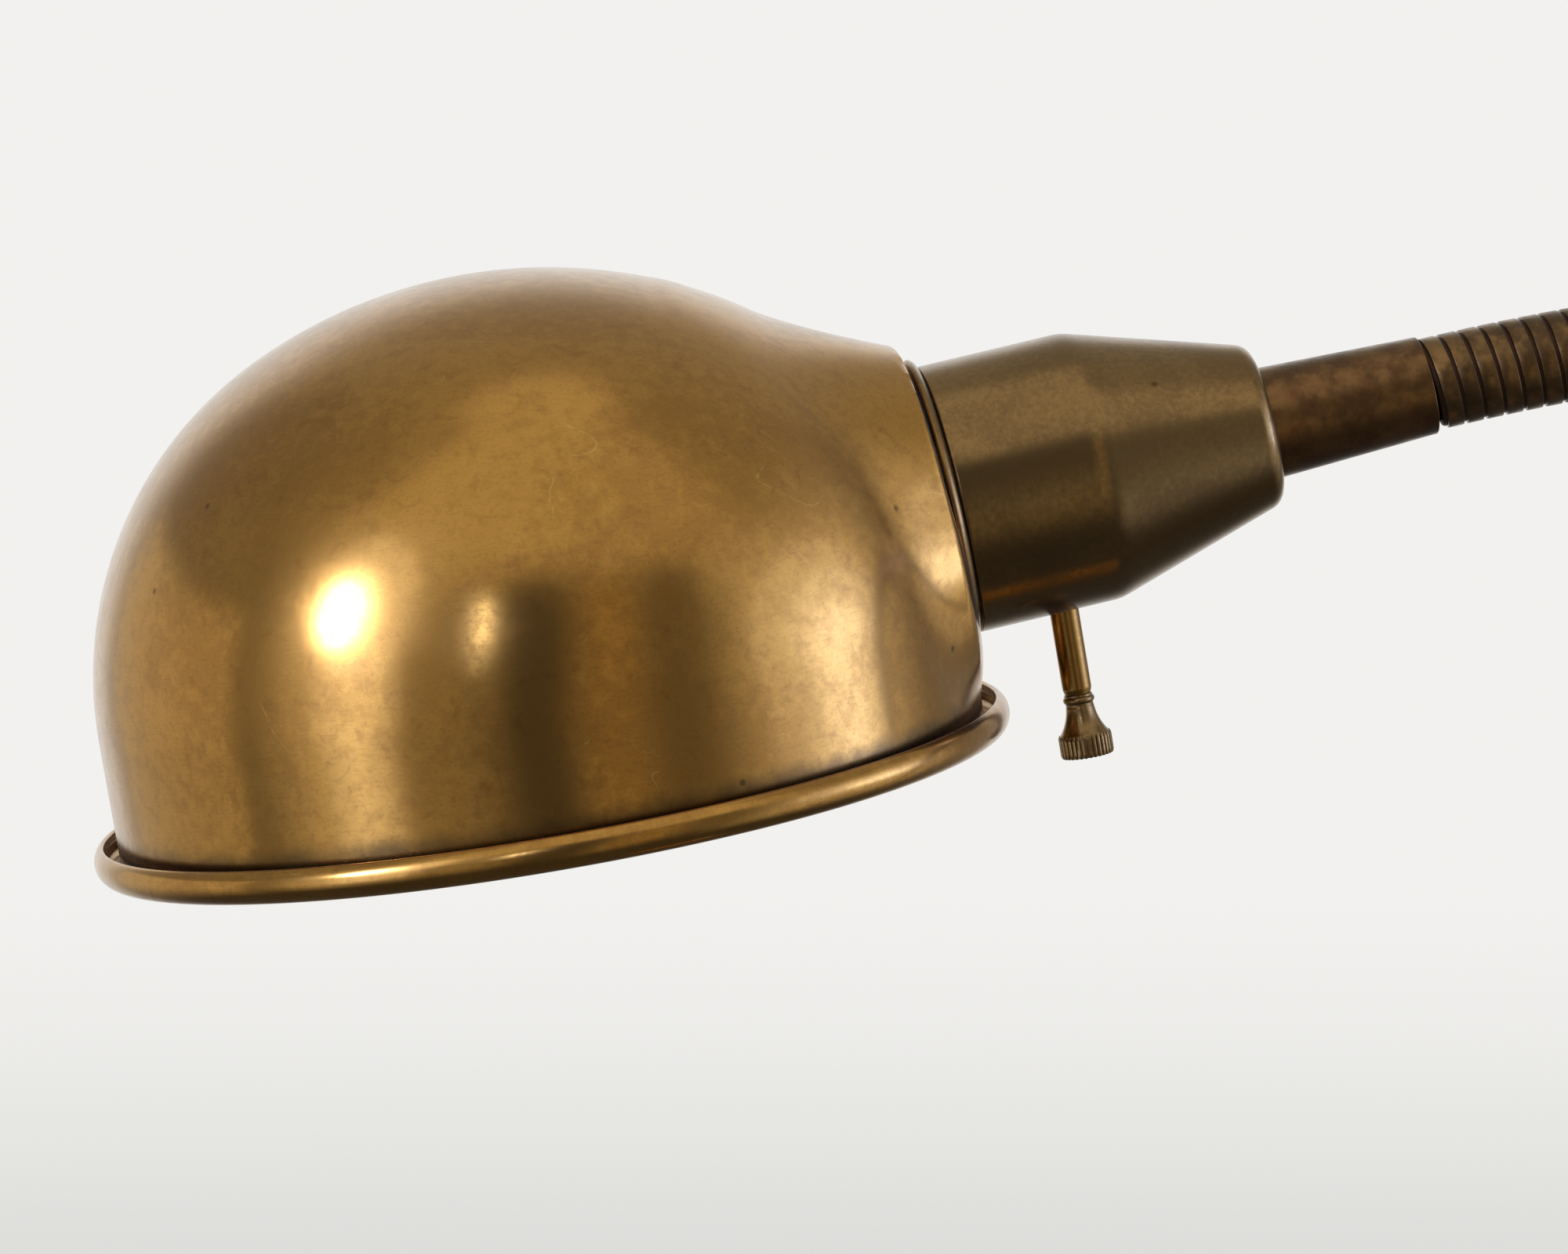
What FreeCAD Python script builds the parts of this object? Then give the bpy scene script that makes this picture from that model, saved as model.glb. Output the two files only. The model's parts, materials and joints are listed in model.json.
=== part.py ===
# Adjustable floor lamp: weighted round base, telescoping pole, bending gooseneck arm and a
# helmet-shaped metal shade on a rotary-switch socket.
# Millimetres. Origin at the centre of the base on the floor, +Z up along the pole, and the arm
# reaches towards -X. The whole arm lies in the XZ plane.
import FreeCAD, Part
import math
import os

import Sketcher

SIZES = [
    # Base
    ("base_width", 254.0, "diameter of the base cover"),
    ("felt_thickness", 2.0, "felt pad under the base"),
    ("felt_inset", 0.6, "felt edge inside the cover's rim"),
    ("cover_wall", 1.2, "sheet of the base cover"),
    ("rim_rise", 13.0, "upright rim of the cover above the felt"),
    ("rim_step", 6.0, "width of the step inside the rim"),
    ("crown_rise", 18.0, "rise of the crown from the step to the middle"),
    ("crown_radius", 330.0, "radius of the crown's curve"),
    ("seat_width", 46.0, "flat seat at the middle of the cover"),
    ("weight_inset", 11.0, "weight's edge inside the cover's rim"),
    ("weight_thickness", 15.0, "cast iron weight"),
    ("nut_recess_width", 34.0, "recess for the nut under the weight"),
    ("nut_recess_depth", 9.0, "depth of that recess"),
    ("cord_channel_width", 9.0, "channel for the lead under the weight"),
    ("cord_channel_depth", 10.0, "depth of that channel"),
    # Fixing of the pole
    ("stud_width", 12.7, "threaded tube that holds pole and base together"),
    ("stud_bore", 9.0, "its passage for the lead"),
    ("stud_reach", 26.0, "length of the stud inside the pole"),
    ("hex_flats", 20.0, "base nut across its flats"),
    ("hex_thickness", 5.6, "base nut"),
    ("washer_width", 28.0, "base washer"),
    ("washer_thickness", 1.6, "base washer"),
    ("foot_width", 42.0, "collar at the foot of the pole"),
    ("foot_rise", 26.0, "height of that collar"),
    ("foot_neck_width", 27.0, "top of that collar"),
    # Lead outlet
    ("bushing_bore", 5.4, "hole for the lead"),
    ("bushing_body", 7.6, "bushing where it passes the rim"),
    ("bushing_flange", 11.0, "outer flange of the bushing"),
    ("bushing_flange_thickness", 1.8, "outer flange of the bushing"),
    ("bushing_reach", 5.0, "bushing inside the rim"),
    # Pole
    ("outer_tube_width", 22.2, "outer pole tube"),
    ("outer_tube_wall", 1.5, "outer pole tube"),
    ("outer_tube_length", 766.0, "outer pole tube"),
    ("inner_tube_width", 15.9, "sliding pole tube"),
    ("inner_tube_wall", 1.0, "sliding pole tube"),
    ("inner_tube_length", 372.0, "sliding pole tube"),
    ("inner_tube_shown", 154.0, "sliding tube above the clamp as it stands"),
    ("slider_length", 22.0, "bush at the lower end of the sliding tube"),
    ("clamp_width", 31.0, "clamp at the top of the outer tube"),
    ("clamp_grip", 17.0, "clamp over the outer tube"),
    ("clamp_cap", 17.0, "clamp above the outer tube"),
    ("clamp_neck_width", 21.0, "top edge of the clamp"),
    ("boss_width", 12.0, "threaded boss for the clamp screw"),
    ("boss_reach", 20.0, "boss face from the pole's axis"),
    ("screw_width", 6.0, "clamp screw"),
    ("screw_shown", 5.0, "bare screw between boss and thumb wheel"),
    ("pad_thickness", 1.6, "soft pad between screw and sliding tube"),
    ("wheel_width", 18.0, "thumb wheel"),
    ("wheel_thickness", 8.0, "thumb wheel"),
    ("wheel_teeth", 24.0, "number of grooves round the thumb wheel"),
    ("groove_depth", 0.7, "depth of a thumb wheel groove"),
    # Swivel on top of the pole
    ("swivel_width", 22.0, "swivel cap"),
    ("swivel_grip", 14.0, "swivel cap over the sliding tube"),
    ("swivel_wall", 4.0, "top wall of the swivel cap"),
    ("thread_width", 10.0, "threaded tubes at swivel and socket"),
    ("thread_bore", 7.0, "their passage for the lead"),
    ("swivel_nut_width", 13.2, "round nut inside the swivel"),
    ("swivel_nut_thickness", 4.0, "round nut inside the swivel"),
    ("swivel_washer_thickness", 1.0, "slip washer"),
    # Ferrules
    ("ferrule_width", 21.8, "ferrule at its wide end"),
    ("ferrule_mouth", 19.2, "ferrule at its mouth"),
    ("ferrule_length", 32.2, "ferrule"),
    ("ferrule_seat", 14.0, "length of arm that the mouth holds"),
    # Gooseneck
    ("arm_length", 400.0, "gooseneck between the two ferrules"),
    ("arm_links", 10.0, "rigid stretches the gooseneck is divided in"),
    ("arm_turn", 102.94, "angle between pole and lamp head as it stands"),
    ("arm_head_radius", 667.0, "bend radius of the gooseneck at the head"),
    ("arm_width", 17.8, "gooseneck over its ribs"),
    ("arm_root_width", 16.0, "gooseneck in its grooves"),
    ("arm_core_width", 9.6, "passage inside the gooseneck"),
    ("ribs_per_link", 10.0, "pitches of the wound strip in one stretch"),
    ("rib_groove", 0.8, "width of the groove between ribs"),
    ("rib_edge", 0.2, "slope at a rib's edge"),
    ("ball_width", 13.6, "ball between two stretches"),
    # Lamp head
    ("neck_rise", 3.46, "angle of the socket's axis above the rim"),
    ("shade_width", 168.4, "shade over its wall"),
    ("shade_height", 102.8, "rim to crown"),
    ("wall_height", 26.6, "upright wall below the dome"),
    ("dome_side_radius", 73.7, "bend where the wall turns into the dome"),
    ("sheet", 1.0, "sheet metal of the shade"),
    ("curl_width", 6.0, "rolled rim across"),
    ("curl_close", 62.0, "how far the rolled rim closes above its middle"),
    ("neck_height", 39.1, "socket's axis above the rim at the dome's axis"),
    ("neck_reach", 83.3, "neck's end face from the dome's axis"),
    ("neck_width", 55.4, "neck at its end"),
    ("neck_root_width", 66.0, "neck where it starts inside the dome"),
    ("neck_root_depth", 37.3, "length of the neck from there to its end"),
    ("neck_root_lift", 13.2, "neck's start above the socket's axis"),
    ("neck_blend", 14.0, "hollow between dome and neck"),
    ("neck_round", 2.4, "rounded edge at the neck's end"),
    ("neck_hole", 38.0, "hole in the neck's end"),
    # Socket cup
    ("ring_flare", 1.8, "flared ring between shade and cup, past the cup's side"),
    ("ring_thickness", 2.3, "flared ring"),
    ("seat_gap", 0.3, "clearance between seated pieces"),
    ("cup_width", 52.6, "socket cup"),
    ("cup_straight", 26.7, "straight part of the cup"),
    ("cup_taper", 35.2, "tapered part of the cup"),
    ("cup_end_width", 31.0, "small end of the cup"),
    ("cup_end_round", 3.5, "rounded edge at the small end"),
    ("cup_wall", 1.2, "cup"),
    ("sleeve_width", 37.4, "threaded sleeve that carries the shade"),
    ("sleeve_wall", 1.0, "threaded sleeve"),
    ("sleeve_reach", 8.0, "sleeve in front of the neck's end"),
    ("ring_nut_width", 44.0, "ring nut inside the shade"),
    ("ring_nut_thickness", 3.2, "ring nut inside the shade"),
    # Socket
    ("shell_width", 27.6, "screw shell outside"),
    ("shell_wall", 0.5, "screw shell"),
    ("shell_length", 24.0, "screw shell"),
    ("shell_front", 73.0, "mouth of the screw shell from the dome's axis"),
    ("liner_width", 33.6, "fibre liner outside"),
    ("liner_wall", 0.7, "fibre liner"),
    ("liner_length", 42.0, "fibre liner"),
    ("insulator_width", 31.6, "switch block outside"),
    ("insulator_length", 16.0, "switch block"),
    ("cap_wall", 0.8, "socket cap"),
    ("cap_length", 14.0, "socket cap behind the switch block"),
    ("terminal_head", 6.0, "terminal screw's head"),
    ("terminal_head_height", 2.4, "terminal screw's head"),
    ("terminal_width", 3.0, "terminal screw"),
    ("terminal_reach", 6.0, "terminal screw below its head"),
    ("locknut_flats", 15.0, "nut at the cup's small end"),
    ("locknut_thickness", 4.5, "nut at the cup's small end"),
    # Switch
    ("stem_place", 103.4, "switch stem from the dome's axis"),
    ("stem_lean", 3.3, "switch stem off square"),
    ("stem_width", 5.7, "switch stem"),
    ("stem_shown", 16.5, "switch stem outside the cup"),
    ("rotor_width", 9.0, "rotor at the stem's inner end"),
    ("rotor_thickness", 4.0, "rotor at the stem's inner end"),
    ("bead_width", 7.0, "bead on the switch knob"),
    ("bead_height", 2.2, "bead on the switch knob"),
    ("knob_waist", 5.4, "switch knob at its waist"),
    ("knob_width", 10.4, "switch knob over its grooves"),
    ("knob_flare", 5.7, "waist to grooved band"),
    ("knob_band", 4.2, "grooved band"),
    ("knob_teeth", 32.0, "grooves round the switch knob"),
    ("knob_groove", 0.4, "depth of a groove"),
    # Bulb
    ("bulb_width", 60.0, "glass at its widest"),
    ("bulb_length", 108.0, "whole bulb"),
    ("bulb_cap_width", 26.0, "screw cap"),
    ("bulb_cap_length", 22.0, "screw cap"),
    ("bulb_cap_end", 1.4, "insulated end of the cap"),
    ("bulb_contact", 4.6, "contact button of the cap"),
    ("bulb_glass", 0.9, "glass wall"),
    # Clearances
    ("running_gap", 0.1, "radial clearance of a running fit"),
    ("joint_gap", 0.3, "clearance between pieces that move"),
]


class Size(float):
    """A number that remembers the sheet expression it came from."""

    def __new__(cls, value, text=None):
        number = float.__new__(cls, value)
        number.text = text or repr(float(value))
        return number

    def __add__(self, other):
        return Size(float(self) + float(other), f"({text_of(self)} + {text_of(other)})")

    def __radd__(self, other):
        return Size(float(other) + float(self), f"({text_of(other)} + {text_of(self)})")

    def __sub__(self, other):
        return Size(float(self) - float(other), f"({text_of(self)} - {text_of(other)})")

    def __rsub__(self, other):
        return Size(float(other) - float(self), f"({text_of(other)} - {text_of(self)})")

    def __mul__(self, other):
        return Size(float(self) * float(other), f"({text_of(self)} * {text_of(other)})")

    def __rmul__(self, other):
        return Size(float(other) * float(self), f"({text_of(other)} * {text_of(self)})")

    def __truediv__(self, other):
        return Size(float(self) / float(other), f"({text_of(self)} / {text_of(other)})")

    def __neg__(self):
        return Size(-float(self), f"(0 - {text_of(self)})")


def text_of(value):
    return value.text if isinstance(value, Size) else repr(float(value))


doc = FreeCAD.newDocument("FloorLamp")
sheet = doc.addObject("Spreadsheet::Sheet", "Sizes")


def fill_sheet():
    for row, (name, value, note) in enumerate(SIZES, start=1):
        sheet.set(f"A{row}", name)
        sheet.set(f"B{row}", repr(value))
        sheet.set(f"C{row}", note)
        sheet.setAlias(f"B{row}", name)
    doc.recompute()


class Values:
    """The sheet's values by name, each as a Size."""

    def __getattr__(self, name):
        return Size(sheet.get(name), f"Sizes.{name}")


fill_sheet()
v = Values()
finished = {}


def keep(label, piece):
    """Name a finished piece; the name is also its file's."""
    piece.Label = label
    finished[label] = piece
    return piece


def bind(piece, prop, value):
    """Set a property to a value of the sheet."""
    piece.setExpression(prop, text_of(value))


def base_plane(body, role):
    return [feature for feature in body.Origin.OriginFeatures if feature.Role == role][0]


class Bow:
    """A round stretch of an outline; side 1 swells to the left of the way the outline runs."""

    def __init__(self, radius, side):
        self.radius = radius
        self.side = side

    def middle(self, start, end):
        chord = end - start
        half = chord.Length / 2
        across = FreeCAD.Vector(-chord.y, chord.x, 0).normalize()
        rise = self.radius - math.sqrt(max(self.radius ** 2 - half ** 2, 0))
        return (start + end) / 2 + across * rise * self.side


def draw_outline(sketch, outline):
    """Draw a closed outline of (across, up) corners, with a Bow between corners that it joins."""
    corners = [item for item in outline if not isinstance(item, Bow)]
    bows = {}
    count = 0
    for item in outline:
        if isinstance(item, Bow):
            bows[count - 1] = item
        else:
            count += 1
    points = [FreeCAD.Vector(float(across), float(up), 0) for across, up in corners]
    starts, ends = [], []
    for index, point in enumerate(points):
        following = points[(index + 1) % len(points)]
        bow = bows.get(index)
        if bow is None:
            edge = sketch.addGeometry(Part.LineSegment(point, following), False)
            starts.append((edge, 1))
            ends.append((edge, 2))
        else:
            curve = Part.Arc(point, bow.middle(point, following), following)
            edge = sketch.addGeometry(curve, False)
            centre = sketch.Geometry[edge].Center
            anticlockwise = (point - centre).cross(following - centre).z > 0
            starts.append((edge, 1 if anticlockwise else 2))
            ends.append((edge, 2 if anticlockwise else 1))
            turn = sketch.addConstraint(Sketcher.Constraint("Radius", edge, float(bow.radius)))
            sketch.setExpression(f"Constraints[{turn}]", text_of(bow.radius))
    for index, (across, up) in enumerate(corners):
        edge, end = starts[index]
        before, before_end = ends[index - 1]
        sketch.addConstraint(Sketcher.Constraint("Coincident", before, before_end, edge, end))
        for kind, value, axis in (("DistanceX", across, -2), ("DistanceY", up, -1)):
            if not isinstance(value, Size) and value == 0:
                sketch.addConstraint(Sketcher.Constraint("PointOnObject", edge, end, axis))
                continue
            rule = Sketcher.Constraint(kind, -1, 1, edge, end, float(value))
            number = sketch.addConstraint(rule)
            sketch.setExpression(f"Constraints[{number}]", text_of(value))


def new_sketch(body, role, name):
    sketch = body.newObject("Sketcher::SketchObject", name)
    sketch.AttachmentSupport = [(base_plane(body, role), "")]
    sketch.MapMode = "FlatFace"
    return sketch


def turned(name, outline, place=None):
    """A body turned about its own Z axis from an outline of (radius, height) corners."""
    body = doc.addObject("PartDesign::Body", name)
    sketch = new_sketch(body, "XZ_Plane", name + "_outline")
    draw_outline(sketch, outline)
    turn = body.newObject("PartDesign::Revolution", name + "_turn")
    turn.Profile = sketch
    turn.ReferenceAxis = (base_plane(body, "Z_Axis"), [""])
    turn.Angle = 360.0
    sketch.Visibility = False
    doc.recompute()
    if place is not None:
        body.Placement = place
    return body


def rounded(body, name, radius, corners):
    """Round the turned edges of a body that lie at the given (radius, height) corners."""
    doc.recompute()
    tip = body.Tip
    names = []
    for index, edge in enumerate(tip.Shape.Edges, start=1):
        if not isinstance(edge.Curve, Part.Circle):
            continue
        centre = edge.Curve.Center
        for across, up in corners:
            if abs(edge.Curve.Radius - across) < 1e-4 and abs(centre.z - up) < 1e-4:
                names.append(f"Edge{index}")
    if len(names) < len(corners):
        raise ValueError(f"{name}: found {len(names)} of {len(corners)} edges")
    fillet = body.newObject("PartDesign::Fillet", name)
    fillet.Base = (tip, names)
    bind(fillet, "Radius", radius)
    body.Tip = fillet
    doc.recompute()


def hexagon_nut(name, flats, thickness, bore, place):
    """A six-sided nut standing on its own XY plane."""
    body = doc.addObject("PartDesign::Body", name)
    sketch = new_sketch(body, "XY_Plane", name + "_outline")
    reach = flats / (2 * math.cos(math.pi / 6))
    corner_steps = [(math.cos(math.radians(60 * k)), math.sin(math.radians(60 * k))) for k in range(6)]
    draw_outline(sketch, [(reach * across, reach * up) for across, up in corner_steps])
    hole = sketch.addGeometry(Part.Circle(FreeCAD.Vector(), FreeCAD.Vector(0, 0, 1), float(bore / 2)))
    sketch.addConstraint(Sketcher.Constraint("Coincident", hole, 3, -1, 1))
    size_rule = sketch.addConstraint(Sketcher.Constraint("Diameter", hole, float(bore)))
    sketch.setExpression(f"Constraints[{size_rule}]", text_of(bore))
    pad = body.newObject("PartDesign::Pad", name + "_pad")
    pad.Profile = sketch
    bind(pad, "Length", thickness)
    doc.recompute()
    body.Placement = place
    return body


def grooved(body, name, radius, depth, bottom, top, teeth):
    """Cut upright grooves round a turned body, as a knurl does."""
    spread = radius * (2 * math.pi * 0.6) / teeth
    sketch = new_sketch(body, "XY_Plane", name + "_notch")
    sketch.AttachmentOffset = FreeCAD.Placement(FreeCAD.Vector(0, 0, float(bottom)), FreeCAD.Rotation())
    draw_outline(sketch, [(radius - depth, 0.0), (radius + depth, -spread), (radius + depth, spread)])
    cut = body.newObject("PartDesign::Pocket", name + "_cut")
    cut.Profile = sketch
    cut.Reversed = True
    bind(cut, "Length", top - bottom)
    doc.recompute()
    ring = body.newObject("PartDesign::PolarPattern", name + "_ring")
    ring.Originals = [cut]
    ring.Axis = (base_plane(body, "Z_Axis"), [""])
    ring.Angle = 360.0
    bind(ring, "Occurrences", teeth)
    body.Tip = ring
    doc.recompute()
    return body


def cylinder(name, width, length, place):
    piece = doc.addObject("Part::Cylinder", name)
    bind(piece, "Radius", width / 2)
    bind(piece, "Height", length)
    piece.Placement = place
    return piece


def without(name, piece, *tools):
    """The piece with the tools cut away."""
    for number, tool in enumerate(tools):
        cut = doc.addObject("Part::Cut", f"{name}_cut_{number}")
        cut.Base = piece
        cut.Tool = tool
        piece = cut
    return piece


def joined(name, *pieces):
    fuse = doc.addObject("Part::MultiFuse", name + "_joined")
    fuse.Shapes = list(pieces)
    return fuse


def at(x=0.0, y=0.0, z=0.0, turn=None):
    return FreeCAD.Placement(FreeCAD.Vector(float(x), float(y), float(z)), turn or FreeCAD.Rotation())


ALONG_X = FreeCAD.Rotation(FreeCAD.Vector(0, 1, 0), 90)


# Heights that several pieces share
cover_top = v.felt_thickness + v.rim_rise + v.crown_rise
outer_tube_top = cover_top + v.outer_tube_length
clamp_top = outer_tube_top + v.clamp_cap
inner_tube_top = clamp_top + v.inner_tube_shown
swivel_top = inner_tube_top + v.swivel_wall
arm_base = swivel_top + v.swivel_washer_thickness + v.joint_gap


def build_base():
    rim = v.base_width / 2
    floor_of_cover = v.felt_thickness
    step = v.felt_thickness + v.rim_rise
    seat = v.seat_width / 2
    hole = v.stud_width / 2 + v.running_gap
    wall = v.cover_wall
    felt = turned("felt_piece", [
        (0, 0),
        (rim - v.felt_inset, 0),
        (rim - v.felt_inset, v.felt_thickness),
        (0, v.felt_thickness),
    ])
    keep("base_felt", felt)

    cover = turned("cover_piece", [
        (hole, cover_top - wall),
        (seat, cover_top - wall),
        Bow(v.crown_radius, 1),
        (rim - v.rim_step, step - wall),
        (rim - wall, step - wall),
        (rim - wall, floor_of_cover),
        (rim, floor_of_cover),
        (rim, step),
        (rim - v.rim_step, step),
        Bow(v.crown_radius + wall, -1),
        (seat, cover_top),
        (hole, cover_top),
    ])
    rounded(cover, "cover_rim_round", v.cover_wall * 2, [(rim, step)])
    outlet_height = v.felt_thickness + v.rim_rise / 2
    outlet = cylinder("cover_outlet", v.bushing_body + v.running_gap * 2, v.rim_step * 2,
                      at(rim - v.rim_step, 0, outlet_height, ALONG_X))
    keep("base_cover", without("base_cover", cover, outlet))

    weight_rim = rim - v.weight_inset
    weight_top = v.felt_thickness + v.weight_thickness
    recess = v.felt_thickness + v.nut_recess_depth
    boss = v.seat_width / 2 - v.cover_wall * 2
    weight = turned("weight_piece", [
        (hole, recess),
        (v.nut_recess_width / 2, recess),
        (v.nut_recess_width / 2, v.felt_thickness),
        (weight_rim, v.felt_thickness),
        (weight_rim, weight_top - v.cover_wall * 4),
        (weight_rim - v.rim_step * 2, weight_top),
        (boss, weight_top),
        (boss, cover_top - wall),
        (hole, cover_top - wall),
    ])
    channel = doc.addObject("Part::Box", "weight_channel")
    bind(channel, "Length", rim)
    bind(channel, "Width", v.cord_channel_width)
    bind(channel, "Height", v.cord_channel_depth)
    channel.Placement = at(0, -v.cord_channel_width / 2, v.felt_thickness)
    keep("base_weight", without("base_weight", weight, channel))

    washer_bottom = recess - v.washer_thickness
    washer = turned("washer_piece", [
        (hole, washer_bottom),
        (v.washer_width / 2, washer_bottom),
        (v.washer_width / 2, recess),
        (hole, recess),
    ])
    keep("base_washer", washer)
    nut = hexagon_nut("nut_piece", v.hex_flats, v.hex_thickness, v.stud_width + v.running_gap,
                      at(z=washer_bottom - v.hex_thickness))
    keep("base_nut", nut)

    stud_bottom = washer_bottom - v.hex_thickness - v.felt_thickness / 4
    stud = turned("stud_piece", [
        (v.stud_bore / 2, stud_bottom),
        (v.stud_width / 2, stud_bottom),
        (v.stud_width / 2, cover_top + v.stud_reach),
        (v.stud_bore / 2, cover_top + v.stud_reach),
    ])
    keep("base_stud", stud)

    bushing = turned("bushing_piece", [
        (v.bushing_bore / 2, 0 - v.bushing_reach),
        (v.bushing_body / 2, 0 - v.bushing_reach),
        (v.bushing_body / 2, v.running_gap),
        (v.bushing_flange / 2, v.running_gap),
        (v.bushing_flange / 2, v.running_gap + v.bushing_flange_thickness),
        (v.bushing_bore / 2, v.running_gap + v.bushing_flange_thickness),
    ], at(rim, 0, outlet_height, ALONG_X))
    keep("cord_bushing", bushing)


def build_foot_of_pole():
    inside = v.outer_tube_width / 2 + v.running_gap
    rise = cover_top
    waist = v.foot_neck_width / 2
    foot = turned("foot_piece", [
        (inside, rise),
        (v.foot_width / 2, rise),
        (v.foot_width / 2, rise + v.foot_rise * 0.16),
        (v.foot_width / 2 - v.cover_wall * 2, rise + v.foot_rise * 0.26),
        Bow(v.foot_rise * 0.8, 1),
        (waist, rise + v.foot_rise * 0.78),
        (waist + v.cover_wall, rise + v.foot_rise * 0.78),
        Bow(v.foot_rise * 0.12, -1),
        (waist + v.cover_wall, rise + v.foot_rise * 0.96),
        (waist - v.cover_wall, rise + v.foot_rise),
        (inside, rise + v.foot_rise),
    ])
    keep("pole_foot", foot)
    plug = turned("plug_piece", [
        (v.stud_width / 2 + v.running_gap, rise),
        (v.outer_tube_width / 2 - v.outer_tube_wall - v.running_gap, rise),
        (v.outer_tube_width / 2 - v.outer_tube_wall - v.running_gap, rise + v.stud_reach),
        (v.stud_width / 2 + v.running_gap, rise + v.stud_reach),
    ])
    keep("pole_plug", plug)


def tube(name, width, wall, bottom, top):
    return turned(name, [
        (width / 2 - wall, bottom),
        (width / 2, bottom),
        (width / 2, top),
        (width / 2 - wall, top),
    ])


def build_pole():
    outer = tube("outer_tube_piece", v.outer_tube_width, v.outer_tube_wall, cover_top, outer_tube_top)
    keep("outer_tube", outer)
    inner_bottom = inner_tube_top - v.inner_tube_length
    inner = tube("inner_tube_piece", v.inner_tube_width, v.inner_tube_wall, inner_bottom, inner_tube_top)
    keep("inner_tube", inner)

    slide_inside = v.inner_tube_width / 2
    slide_outside = v.outer_tube_width / 2 - v.outer_tube_wall - v.running_gap
    slider = turned("slider_piece", [
        (slide_inside, inner_bottom),
        (slide_outside, inner_bottom),
        (slide_outside, inner_bottom + v.slider_length),
        (slide_inside, inner_bottom + v.slider_length),
    ])
    keep("slider_bush", slider)

    grip_bottom = outer_tube_top - v.clamp_grip
    guide = v.inner_tube_width / 2 + v.running_gap
    bead = v.clamp_grip / 6
    clamp = turned("clamp_piece", [
        (guide, outer_tube_top),
        (v.outer_tube_width / 2 + v.running_gap, outer_tube_top),
        (v.outer_tube_width / 2 + v.running_gap, grip_bottom),
        (v.clamp_width / 2 - bead, grip_bottom),
        (v.clamp_width / 2, grip_bottom + bead),
        (v.clamp_width / 2, clamp_top - bead * 2),
        (v.clamp_neck_width / 2 + bead / 2, clamp_top - bead / 4),
        (v.clamp_neck_width / 2, clamp_top),
        (guide, clamp_top),
    ])
    screw_height = outer_tube_top + v.clamp_cap * 0.45
    boss = cylinder("clamp_boss", v.boss_width, v.boss_reach - v.inner_tube_width * 0.75,
                    at(v.inner_tube_width * 0.75, 0, screw_height, ALONG_X))
    hole = cylinder("clamp_hole", v.screw_width + v.running_gap * 2, v.boss_reach * 1.5,
                    at(0, 0, screw_height, ALONG_X))
    keep("pole_clamp", without("pole_clamp", joined("pole_clamp", clamp, boss), hole))

    pad_start = v.inner_tube_width / 2 + v.joint_gap
    pad = turned("pad_piece", [
        (0, 0),
        (v.screw_width / 2, 0),
        (v.screw_width / 2, v.pad_thickness),
        (0, v.pad_thickness),
    ], at(pad_start, 0, screw_height, ALONG_X))
    keep("clamp_pad", pad)
    screw_start = pad_start + v.pad_thickness + v.joint_gap
    wheel_start = v.boss_reach + v.screw_shown - screw_start
    screw = turned("screw_piece", [
        (0, 0),
        (v.screw_width / 2 - v.groove_depth, 0),
        (v.screw_width / 2, v.groove_depth),
        (v.screw_width / 2, wheel_start),
        (0, wheel_start),
    ], at(screw_start, 0, screw_height, ALONG_X))
    keep("clamp_screw", screw)
    wheel = turned("wheel_piece", [
        (0, 0),
        (v.wheel_width * 0.3, 0),
        (v.wheel_width / 2, v.groove_depth * 2),
        (v.wheel_width / 2, v.wheel_thickness - v.groove_depth),
        (v.wheel_width / 2 - v.groove_depth, v.wheel_thickness),
        (0, v.wheel_thickness),
    ])
    grooved(wheel, "wheel", v.wheel_width / 2, v.groove_depth, Size(0), v.wheel_thickness, v.wheel_teeth)
    wheel.Placement = at(v.boss_reach + v.screw_shown, 0, screw_height, ALONG_X)
    keep("clamp_wheel", wheel)


def build_swivel():
    grip_bottom = inner_tube_top - v.swivel_grip
    grip = v.inner_tube_width / 2 + v.running_gap
    pivot = v.thread_width / 2 + v.running_gap
    edge = v.swivel_wall / 4
    cap = turned("swivel_piece", [
        (grip, grip_bottom),
        (v.swivel_width / 2 - edge, grip_bottom),
        (v.swivel_width / 2, grip_bottom + edge),
        (v.swivel_width / 2, swivel_top - edge),
        (v.swivel_width / 2 - edge, swivel_top),
        (pivot, swivel_top),
        (pivot, inner_tube_top),
        (grip, inner_tube_top),
    ])
    keep("swivel_cap", cap)
    washer = turned("slip_washer_piece", [
        (pivot, swivel_top),
        (v.swivel_width / 2 - edge, swivel_top),
        (v.swivel_width / 2 - edge, swivel_top + v.swivel_washer_thickness),
        (pivot, swivel_top + v.swivel_washer_thickness),
    ])
    keep("swivel_washer", washer)
    nut_top = inner_tube_top - v.joint_gap
    nut = turned("swivel_nut_piece", [
        (v.thread_width / 2, nut_top - v.swivel_nut_thickness),
        (v.swivel_nut_width / 2, nut_top - v.swivel_nut_thickness),
        (v.swivel_nut_width / 2, nut_top),
        (v.thread_width / 2, nut_top),
    ])
    keep("swivel_nut", nut)
    stud = tube("swivel_stud_piece", v.thread_width, (v.thread_width - v.thread_bore) / 2,
                nut_top - v.swivel_nut_thickness - v.joint_gap, arm_base + thread_depth)
    keep("swivel_stud", stud)


# Length of threaded tube inside a ferrule, which leaves room for the end of the arm
thread_depth = v.ferrule_length - v.ferrule_seat - v.ferrule_width * 0.15


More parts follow.
